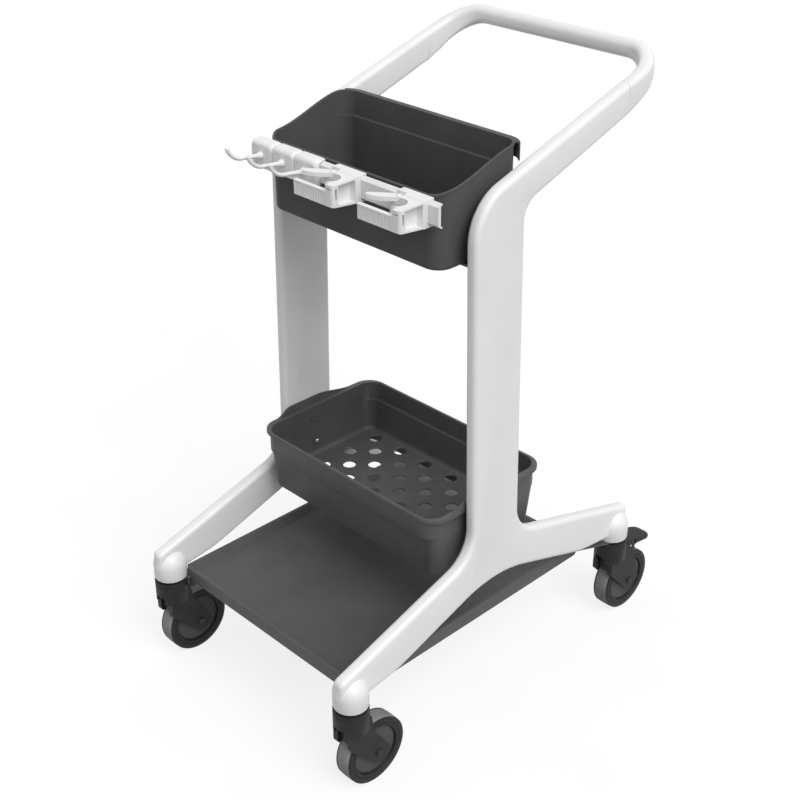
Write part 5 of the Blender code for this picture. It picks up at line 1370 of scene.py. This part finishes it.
def module_profile(top_round, inset):
    """Side view of a module's base, with its front, top and underside drawn in by an inset."""
    tip = RAIL_LIP_HEIGHT / 2
    hook_front = RAIL_LIP_REACH + RAIL_TIP_STEP + CLEARANCE
    hook_back = hook_front + MODULE_HOOK_WALL
    hook_end = tip - RAIL_LIP_WALL * MODULE_HOOK_RATIO
    top = MODULE_HALF_HEIGHT - inset * MODULE_INSET_RATIO
    front = inset + MODULE_FACE
    slant = math.hypot(RAIL_LIP_REACH, tip - RAIL_WEB_HEIGHT / 2)
    lift = CLEARANCE * MODULE_GAP_RATIO * slant / RAIL_LIP_REACH
    hook = [
        (hook_back, top),
        (hook_back, hook_end),
        (hook_front, hook_end),
        (hook_front, tip + lift),
        (RAIL_LIP_REACH, tip + lift),
        (-CLEARANCE, RAIL_WEB_HEIGHT / 2 + CLEARANCE + lift),
    ]
    upper = arc((front + top_round, top - top_round), top_round, 180, 90, steps=10) + hook
    foot = MODULE_FOOT_ROUND
    return upper + flipped(hook) + arc((front + foot, foot - top), foot, 270, 180, steps=4)


def module_block(left, right, top_round, edge, shoulder=0.0):
    """Module base between two ends, with its front edges rounded and its top falling off at the ends."""
    first_half = []
    second_half = []
    for step in range(MODULE_EDGE_STEPS + 1):
        angle = math.radians(90 * step / MODULE_EDGE_STEPS)
        along = edge * (1 - math.cos(angle))
        drop = 1 - math.sin(angle)
        profile = module_profile(top_round + shoulder * drop, edge * drop * MODULE_INSET_RATIO)
        first_half.append([(left + along, y, z) for y, z in profile])
        second_half.append([(right - along, y, z) for y, z in profile])
    return loft(first_half + second_half[::-1])


def hook_path():
    """Stations (y, z, heading, radius) along the boss, its neck, the bent rod and the rounded tip."""
    boss_end = MODULE_FACE - HOOK_BOSS_LENGTH
    path = [
        (MODULE_FACE + HOOK_ROOT_DEPTH, 0.0, 180.0, HOOK_BOSS_RADIUS),
        (MODULE_FACE - HOOK_BOSS_EDGE, 0.0, 180.0, HOOK_BOSS_RADIUS),
        (boss_end, 0.0, 180.0, HOOK_BOSS_RADIUS * HOOK_BOSS_END_RATIO),
        (boss_end - HOOK_NECK, HOOK_NECK_RISE, 180.0, HOOK_BOSS_RADIUS * HOOK_NECK_RATIO),
    ]
    for step in range(HOOK_BEND_STEPS + 1):
        bend = HOOK_BEND_DEG * step / HOOK_BEND_STEPS
        y = MODULE_FACE - HOOK_RUN - HOOK_BEND_RADIUS * math.sin(math.radians(bend))
        z = HOOK_RISE + HOOK_BEND_RADIUS * (1 - math.cos(math.radians(bend)))
        path.append((y, z, 180.0 - bend, HOOK_ROD_RADIUS))
    end_y, end_z, heading, radius = path[-1]
    lean = math.radians(heading)
    for step in range(1, HOOK_TIP_STEPS + 1):
        angle = math.radians(HOOK_TIP_DEG * step / HOOK_TIP_STEPS)
        reach = HOOK_TIP_ROUND * math.sin(angle)
        y = end_y + reach * math.cos(lean)
        path.append((y, end_z + reach * math.sin(lean), heading, radius * math.cos(angle)))
    return path


def build_hook(label, index):
    left = HOOK_START + index * HOOK_WIDTH
    right = left + HOOK_WIDTH - CLEARANCE
    middle = (left + right) / 2
    block = module_block(left, right, MODULE_TOP_ROUND, HOOK_BLOCK_EDGE, HOOK_BLOCK_FALL)
    solid = make_solid("hook_block_" + label, block, (0.0, RAIL_FRONT, RAIL_CENTRE_HEIGHT))
    flutes = bmesh.new()
    flute_low = FLUTE_FOOT_MARGIN - MODULE_HALF_HEIGHT
    flute_high = MODULE_HALF_HEIGHT - FLUTE_MARGIN
    for step in range(-FLUTE_LAST, FLUTE_LAST + 1):
        if abs(step) >= FLUTE_FIRST:
            spot = (middle + step * FLUTE_STEP, MODULE_FACE - FLUTE_RADIUS * FLUTE_OUT_SHARE)
            skin(flutes, prism_rings(circle(spot, FLUTE_RADIUS, sides=16), flute_low, flute_high, "Z"))
    cut(solid, flutes)
    rings = []
    for y, z, heading, radius in hook_path():
        turn = math.radians(heading)
        ring = []
        for side in range(ROD_SIDES):
            angle = 2 * math.pi * side / ROD_SIDES
            x = middle + radius * math.sin(angle)
            out = radius * math.cos(angle)
            ring.append((x, y - out * math.sin(turn), z + out * math.cos(turn)))
        rings.append(ring)
    fuse(solid, loft(rings))
    finish_piece(solid, "trolley", ["hook_" + label], "module_white", sharp_deg=HOOK_SHARP_DEG)


def clip_outline():
    """Plan of the clip, from its left end and forward of the rail front: a C open to the left."""
    inner = CLIP_REACH - CLIP_WALL
    slot_centre = (CLIP_LENGTH - CLIP_SLOT_END, (inner + CLIP_BACK_ARM) / 2)
    corner = (CLIP_LENGTH - CLIP_CORNER, CLIP_REACH - CLIP_CORNER)
    lip = (CLIP_LIP_ROUND, CLIP_REACH - CLIP_LIP_ROUND)
    mouth = (CLIP_MOUTH_ROUND, inner + CLIP_MOUTH_ROUND)
    points = [(CLIP_BASE_LEFT, CLIP_ROOT), (CLIP_LENGTH, CLIP_ROOT)]
    points += arc(corner, CLIP_CORNER, 0, 90, steps=12)
    points += arc(lip, CLIP_LIP_ROUND, 90, 180, steps=8)
    points += arc(mouth, CLIP_MOUTH_ROUND, 180, 270, steps=6)
    points += arc(slot_centre, (inner - CLIP_BACK_ARM) / 2, 90, -90, steps=32)
    points.append((CLIP_BASE_LEFT, CLIP_BACK_ARM))
    return points


def clip_top(forward):
    return between(CLIP_TOP_BACK, CLIP_TOP_FRONT, forward / CLIP_REACH)


def clip_bottom(forward):
    return between(-MODULE_HALF_HEIGHT, -CLIP_BOTTOM_FRONT, forward / CLIP_REACH)


def build_clip_frame(label, left):
    outline = clip_outline()
    underside = [(u, -v, clip_bottom(v)) for u, v in outline]
    upper_side = [(u, -v, clip_top(v)) for u, v in outline]
    place = (left, RAIL_FRONT, RAIL_CENTRE_HEIGHT)
    solid = make_solid("clip_frame_" + label, loft([underside, upper_side]), place)
    fuse(solid, module_block(CLIP_BASE_LEFT, CLIP_LENGTH, CLIP_BASE_ROUND, CLIP_BASE_EDGE))
    face = -CLIP_REACH
    tower_left = CLIP_LENGTH - CLIP_TOWER_LENGTH
    wall_back = CLIP_WALL + CLIP_WALL_STEP - CLIP_REACH
    cut(solid, box((-CUT_PAST, face - CUT_PAST, CLIP_FRONT_WALL_TOP), (tower_left, wall_back, CLIP_ABOVE)))
    pocket_front = CLIP_REACH - CLIP_TOWER_LENGTH * CLIP_POCKET_RATIO
    pocket_back = MODULE_BASE + CLIP_POCKET_WALL
    pocket = [(-forward, clip_bottom(forward) + CLIP_PLATE) for forward in (pocket_front, pocket_back)]
    pocket += [(-forward, clip_top(forward) - CLIP_PLATE) for forward in (pocket_back, pocket_front)]
    cut(solid, prism(pocket, CLIP_LENGTH - CLIP_POCKET_DEPTH, CLIP_LENGTH + CUT_PAST, "X"))
    panels = bmesh.new()
    low = clip_bottom(CLIP_REACH) + PANEL_MARGIN
    high = CLIP_FRONT_WALL_TOP - PANEL_MARGIN
    for start, count in PANEL_ROWS:
        for step in range(count):
            u = start + step * PANEL_STEP
            add_box(panels, (u, face - PANEL_PAST, low), (u + PANEL_WIDTH, face + PANEL_DEPTH, high))
    cut(solid, panels)
    slits = bmesh.new()
    low, high = SIDE_SLIT_HEIGHTS
    start, end = SIDE_SLIT_DEPTHS
    slit_left = CLIP_LENGTH - SIDE_SLIT_LENGTH
    add_box(slits, (slit_left, face + start, low), (CLIP_LENGTH + PANEL_PAST, face + end, high))
    low, high = FRONT_SLIT_HEIGHTS
    start, end = FRONT_SLIT_MARGINS
    slit_low = (tower_left + start, face - PANEL_PAST, low)
    add_box(slits, slit_low, (CLIP_LENGTH - end, face + FRONT_SLIT_DEPTH, high))
    cut(solid, slits)
    recess_low = (CLIP_BASE_LEFT - CUT_PAST, -CLIP_BACK_ARM - CLIP_PLATE, JAW_LOW - CLEARANCE)
    recess_high = (JAW_PIVOT_LEFT + JAW_ROOT_RADIUS + JAW_ROOM, -JAW_RECESS_BACK, CLIP_ABOVE)
    cut(solid, box(recess_low, recess_high))
    pin_spot = (JAW_PIVOT_LEFT, -JAW_PIVOT_REACH, 0.0)
    cut(solid, bore(JAW_PIN_RADIUS, JAW_LOW - JAW_PIN_GRIP - CLEARANCE, CLIP_ABOVE, centre=pin_spot))
    finish_piece(solid, "clip_" + label, ["clip_body_" + label], "module_white", edge=FINE_BEVEL)


def build_clip_tongue(label, left):
    length = JAW_PIVOT_LEFT + JAW_OVERHANG - TONGUE_TIP_RADIUS
    forward = JAW_TIP_REACH - JAW_PIVOT_REACH + TONGUE_FORWARD
    heading = math.degrees(math.atan2(-forward, -length))
    plan = arc((0.0, 0.0), JAW_ROOT_RADIUS, heading - 270, heading - 90, steps=24)
    plan += arc((-length, -forward), TONGUE_TIP_RADIUS, heading - 90, heading + 90, steps=16)
    last = Vector(plan[-1])
    first = Vector(plan[0])
    belly = (last + first) / 2 + Vector((0.0, -TONGUE_BELLY))
    for step in range(1, TONGUE_STEPS):
        share = step / TONGUE_STEPS
        spot = last * (1 - share) ** 2 + belly * (2 * share * (1 - share)) + first * share**2
        plan.append((spot.x, spot.y))
    place = (left + JAW_PIVOT_LEFT, RAIL_FRONT - JAW_PIVOT_REACH, RAIL_CENTRE_HEIGHT)
    jaw = make_solid("clip_tongue_" + label, prism(plan, JAW_LOW, CLIP_TOP_FRONT, "Z"), place)
    cut(jaw, bore(JAW_PIN_RADIUS, JAW_LOW - CUT_PAST, CLIP_ABOVE))
    finish_piece(jaw, "jaw_" + label, ["clip_jaw_" + label], "module_white", edge=TONGUE_BEVEL)


# Castors and brakes.

def fork_arm(braked):
    """Side view of a fork arm, from the head down to the axle and back up to the brake lug or the head."""
    front = -math.sqrt(FORK_HEAD_RADIUS**2 - FORK_OUTSIDE**2)
    fall = math.radians(FORK_ARM_DEG)
    along = Vector((math.cos(fall), -math.sin(fall)))
    across = Vector((math.sin(fall), math.cos(fall)))
    end_middle = Vector((WHEEL_TRAIL, WHEEL_RADIUS)) + along * FORK_ARM_END
    end_low = end_middle - across * FORK_ARM_LOWER
    end_high = end_middle + across * FORK_ARM_UPPER
    front_low = end_low.y + (end_low.x - front) * math.tan(fall)
    root_height = WHEEL_DIAMETER - FORK_ROOT_DROP
    inside_head = FORK_SKIRT_BOTTOM + FORK_HEAD_HEIGHT / 2
    arm = [
        (front, inside_head, *SHARP),
        (front, front_low, *FORK_CORNER),
        (end_low.x, end_low.y, *FORK_END_FILLET),
        (end_high.x, end_high.y, *FORK_END_FILLET),
    ]
    if braked:
        lug_top = PEDAL_PIVOT_HEIGHT + PEDAL_LUG
        lug_back = PEDAL_PIVOT_BACK + PEDAL_LUG + LUG_REACH
        arm += [
            (lug_back + FORK_LUG_STEP, root_height, *SHARP),
            (lug_back, PEDAL_PIVOT_HEIGHT, *SHARP),
            (lug_back, lug_top, *FORK_CORNER),
            (0.0, lug_top, *SHARP),
        ]
    else:
        arm += [
            (FORK_ROOT_BACK, root_height, *SHARP),
            (FORK_ROOT_BACK - FORK_ROOT_STEP, inside_head, *SHARP),
        ]
    return filleted(arm)


def build_fork(label, place, braked):
    fork = make_solid("fork_" + label, prism(fork_arm(braked), -FORK_OUTSIDE, FORK_OUTSIDE, "X"), place)
    groove = FORK_TOP - FORK_GROOVE_DROP
    head = eased(FORK_HEAD_RADIUS, FORK_SKIRT_BOTTOM, FORK_HEAD_EDGE)
    head += [
        (FORK_HEAD_RADIUS, groove - FORK_GROOVE_HALF),
        (FORK_HEAD_RADIUS - FORK_GROOVE_DEPTH, groove),
        (FORK_HEAD_RADIUS, groove + FORK_GROOVE_HALF),
    ]
    head += reversed(eased(FORK_HEAD_RADIUS, FORK_TOP, FORK_TOP_EDGE, up=-1))
    fuse(fork, revolve(head, ROUND_SIDES))
    slot = circle((WHEEL_TRAIL, WHEEL_RADIUS), WHEEL_RADIUS + FORK_WHEEL_GAP, ROUND_SIDES)
    cut(fork, prism(slot, -FORK_INSIDE, FORK_INSIDE, "X"))
    front, back = FORK_RECESS_DEPTHS
    recess_low = (-FORK_RECESS_HALF, front, FORK_SKIRT_BOTTOM - FORK_RECESS_DROP)
    cut(fork, box(recess_low, (FORK_RECESS_HALF, back, FORK_SKIRT_BOTTOM + FORK_RECESS_RISE)))
    if braked:
        pocket_front = PEDAL_PIVOT_BACK - PEDAL_BARREL_RADIUS - PEDAL_BARREL_ROOM
        pocket_high = (FORK_INSIDE, WHEEL_TRAIL + WHEEL_RADIUS, FORK_TOP + CUT_PAST)
        cut(fork, box((-FORK_INSIDE, pocket_front, WHEEL_RADIUS), pocket_high))
    head_room = STEM_HEAD_RADIUS + STEM_HEAD_ROOM
    head_top = STEM_HEAD_BOTTOM + STEM_HEAD_HEIGHT + CLEARANCE
    stem_bore = [
        (head_room, WHEEL_RADIUS),
        (head_room, head_top),
        (STEM_RADIUS + CLEARANCE, head_top),
        (STEM_RADIUS + CLEARANCE, FORK_TOP + CUT_PAST),
    ]
    cut(fork, revolve(stem_bore, BOSS_SIDES))
    axle_spot = (0.0, WHEEL_TRAIL, WHEEL_RADIUS)
    cut(fork, bore(AXLE_RADIUS, -FORK_HOLE_REACH, FORK_HOLE_REACH, "X", axle_spot))
    if braked:
        pivot_spot = (0.0, PEDAL_PIVOT_BACK, PEDAL_PIVOT_HEIGHT)
        cut(fork, bore(PEDAL_PIN_RADIUS, -FORK_HOLE_REACH, FORK_HOLE_REACH, "X", pivot_spot))
    finish_piece(fork, "fork_" + label, ["castor_fork_" + label], "castor_grey", edge=FORK_BEVEL)


def build_wheel(label, place):
    axle_place = (place[0], place[1] + WHEEL_TRAIL, WHEEL_RADIUS)
    half = WHEEL_WIDTH / 2
    tread_half = TREAD_WIDTH / 2
    bed = WHEEL_RADIUS - TREAD_DEPTH
    flange = WHEEL_RADIUS - RIM_FLANGE_GAP
    boss = FORK_INSIDE - CLEARANCE
    disc = half - HUB_RECESS
    ring_inner = HUB_DISC_RADIUS + HUB_SLOPE
    outer = [
        (AXLE_RADIUS + CLEARANCE, boss),
        (HUB_BOSS_RADIUS - HUB_EDGE, boss),
        (HUB_BOSS_RADIUS, boss - HUB_EDGE),
        (HUB_BOSS_RADIUS + HUB_SLOPE, disc),
        (HUB_DISC_RADIUS - DISC_CROWN_IN, disc + DISC_CROWN),
        (HUB_DISC_RADIUS, disc),
        (ring_inner - RING_FOOT, half - HUB_EDGE),
        (ring_inner + HUB_EDGE, half),
    ]
    outer += [(ring_inner + out, half - sunk) for out, sunk in RING_GROOVE]
    outer += [(flange - inward, half - sunk) for inward, sunk in RIM_EDGE]
    outer += [
        (flange, tread_half + RIM_SHOULDER),
        (flange - RIM_TURN, tread_half + CLEARANCE),
        (bed - CLEARANCE, tread_half + CLEARANCE),
    ]
    profile = outer + flipped(outer)
    hub = make_solid("hub_" + label, revolve(profile, WHEEL_SIDES, "X", closed=True), axle_place)
    finish_piece(hub, "wheel_" + label, ["wheel_hub_" + label], "wheel_grey")
    crown = [(bed, -tread_half)]
    for step in range(CROWN_STEPS + 1):
        out = -tread_half + TREAD_WIDTH * step / CROWN_STEPS
        fall = max(0.0, abs(out) / tread_half - CROWN_FLAT) / (1 - CROWN_FLAT)
        crown.append((WHEEL_RADIUS - CROWN_FALL * fall**2, out))
    crown.append((bed, tread_half))
    tyre = make_solid("tread_" + label, revolve(crown, WHEEL_SIDES, "X", closed=True), axle_place)
    finish_piece(tyre, "wheel_" + label, ["tyre_" + label], "tread_grey")


def paddle_ring(x, tip_y):
    """Side view of the paddle at a distance x across it, out to its edge at tip_y."""
    root = NECK_START - PADDLE_OVERLAP
    bend_y = tip_y - PADDLE_BEND
    tip_z = -PEDAL_TIP_DROP
    outline = filleted([
        (root, PEDAL_BARREL_RADIUS - PADDLE_ROOT_ABOVE, *PADDLE_ROOT_FILLET),
        (root, -PEDAL_BARREL_RADIUS + PADDLE_ROOT_BELOW, *PADDLE_ROOT_FILLET),
        (bend_y, tip_z - PEDAL_WALL + PADDLE_BEND_RISE, *PADDLE_BEND_FILLET),
        (tip_y, tip_z - PEDAL_WALL, *PADDLE_TIP_FILLET),
        (tip_y, tip_z - PADDLE_EDGE, *PADDLE_TIP_FILLET),
        (bend_y, tip_z + PADDLE_BEND_RISE, *PADDLE_BEND_FILLET),
    ])
    return [(x, y, z) for y, z in outline]


def build_pedal(label, place):
    barrel = PEDAL_BARREL_RADIUS
    tip_y = PEDAL_TIP_BACK - PEDAL_PIVOT_BACK
    neck_end = tip_y * NECK_RATIO
    neck_drop = -PEDAL_TIP_DROP * NECK_RATIO
    neck = arc((0.0, 0.0), barrel, *PEDAL_BARREL_DEG, steps=24)
    neck += [
        (SHOE_FRONT, -barrel - SHOE_DROP),
        (SHOE_BACK, -barrel - SHOE_DROP),
        (NECK_START, -barrel - NECK_FILL),
        (neck_end, neck_drop - PEDAL_WALL * (1 - NECK_SHARE_ABOVE)),
        (neck_end, neck_drop + PEDAL_WALL * NECK_SHARE_ABOVE),
        (NECK_START, barrel - NECK_STEP),
    ]
    half = FORK_INSIDE - CLEARANCE
    pivot_place = (place[0], place[1] + PEDAL_PIVOT_BACK, PEDAL_PIVOT_HEIGHT)
    pedal = make_solid("pedal_" + label, prism(neck, -half, half, "X"), pivot_place)
    edge = []
    for angle in range(0, 91, PADDLE_STEP_DEG):
        turn = math.radians(angle)
        x = PEDAL_HALF_WIDTH - PADDLE_CORNER + PADDLE_CORNER * math.sin(turn)
        edge.append((x, tip_y - PADDLE_CORNER * (1 - math.cos(turn))))
    fuse(pedal, loft([paddle_ring(x, y) for x, y in mirrored(edge) + edge]))
    cut(pedal, bore(PEDAL_PIN_RADIUS, -FORK_HOLE_REACH, FORK_HOLE_REACH, "X"))
    finish_piece(pedal, "pedal_" + label, ["brake_pedal_" + label], "castor_grey", edge=FINE_BEVEL)


def build_pieces():
    for side, word in ((-1, "left"), (1, "right")):
        build_side_frame(word + "_frame_moulding", word + "_side_frame", side)
    build_push_handle()
    build_top_bin()
    build_lower_basket()
    build_base_tray()
    build_tool_rail()
    for index, word in enumerate(("left", "middle", "right")):
        build_hook(word, index)
    for index, word in enumerate(("left", "right")):
        left = CLIP_FIRST_LEFT + index * CLIP_PITCH
        build_clip_frame(word, left)
        build_clip_tongue(word, left)
    for row, end in (("front_", -1), ("rear_", 1)):
        for word, side in (("left", -1), ("right", 1)):
            place = (side * HALF_TRACK, end * HALF_BASE, 0.0)
            braked = end > 0
            build_fork(row + word, place, braked)
            build_wheel(row + word, place)
            if braked:
                build_pedal(row + word, place)


def dress_plain_nodes():
    """Give the solids that no piece replaces the finish of their slot, and the axles a dark one."""
    replaced = set()
    for thing in bpy.data.objects:
        replaced.update(thing.get("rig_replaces", []))
    slot_of = {entry["node"]: entry["material_slot"] for entry in frame["record"]["subparts"]}
    for name, node in frame["nodes"].items():
        if name not in replaced:
            node.data.materials.clear()
            node.data.materials.append(dark_steel if name.startswith("axle") else finish_of[slot_of[name]])


# Floor, light and camera.

def seen_strength(tree, hidden, seen):
    """One strength for the light on the object, another for what the camera and reflections see."""
    path = tree.nodes.new("ShaderNodeLightPath")
    total = path.outputs["Is Camera Ray"]
    for name in ("Is Glossy Ray", "Is Transmission Ray"):
        sources = {0: total, 1: path.outputs[name]}
        total = add_node(tree, "Math", {}, sources, operation="MAXIMUM").outputs["Value"]
    levels = {"To Min": hidden, "To Max": seen}
    return add_node(tree, "MapRange", levels, {"Value": total}).outputs["Result"]


def build_floor():
    bm = bmesh.new()
    bmesh.ops.create_grid(bm, x_segments=FLOOR_ROWS, y_segments=FLOOR_ROWS, size=FLOOR_SIZE / 2)
    mesh = bpy.data.meshes.new("floor")
    bm.to_mesh(mesh)
    bm.free()
    floor = bpy.data.objects.new("floor", mesh)
    bpy.context.scene.collection.objects.link(floor)
    floor.location = FLOOR_PLACE
    made, tree, shader, coords = start_material("pale_floor", roughness=0.9, gloss=0.0)
    shader.inputs["Emission Color"].default_value = WHITE
    drift = noise(tree, coords, scale=3.0, detail=2.0)
    connect(tree, shader, {
        "Base Color": ramp(tree, drift, FLOOR_DARK, FLOOR_LIGHT),
        "Emission Strength": seen_strength(tree, 0.0, FLOOR_GLOW),
    })
    mesh.materials.append(made)


def place_lights():
    sun = bpy.data.lights.new("sun", "SUN")
    sun.energy = SUN_STRENGTH
    sun.angle = math.radians(SUN_ANGLE_DEG)
    sun_lamp = bpy.data.objects.new("sun", sun)
    sun_lamp.rotation_euler = Vector(SUN_FROM).to_track_quat("Z", "Y").to_euler()
    bpy.context.scene.collection.objects.link(sun_lamp)
    world = bpy.data.worlds.new("studio")
    world.use_nodes = True
    sky = world.node_tree.nodes["Background"]
    sky.inputs["Color"].default_value = WHITE
    connect(world.node_tree, sky, {"Strength": seen_strength(world.node_tree, SKY_STRENGTH, SKY_SEEN)})
    bpy.context.scene.world = world


def place_camera():
    turn = math.radians(VIEW_AZIMUTH)
    lift = math.radians(VIEW_ELEVATION)
    roll = math.radians(VIEW_ROLL)
    back = Vector((math.sin(turn) * math.cos(lift), -math.cos(turn) * math.cos(lift), math.sin(lift)))
    right = Vector((math.cos(turn), math.sin(turn), 0.0))
    up = back.cross(right)
    level_x = right * math.cos(roll) - up * math.sin(roll)
    level_y = right * math.sin(roll) + up * math.cos(roll)
    spot = Vector(VIEW_TARGET) + back * VIEW_DISTANCE
    lens = bpy.data.cameras.new("camera")
    lens.sensor_width = VIEW_SENSOR
    lens.lens = VIEW_LENS
    lens.shift_x, lens.shift_y = VIEW_SHIFT
    lens.clip_end = VIEW_END
    camera = bpy.data.objects.new("camera", lens)
    facing = Matrix((level_x, level_y, back)).transposed()
    camera.matrix_world = Matrix.Translation(spot) @ facing.to_4x4()
    bpy.context.scene.collection.objects.link(camera)
    bpy.context.scene.camera = camera


build_pieces()
dress_plain_nodes()
build_floor()
place_lights()
place_camera()
bpy.context.scene.view_settings.view_transform = "Standard"
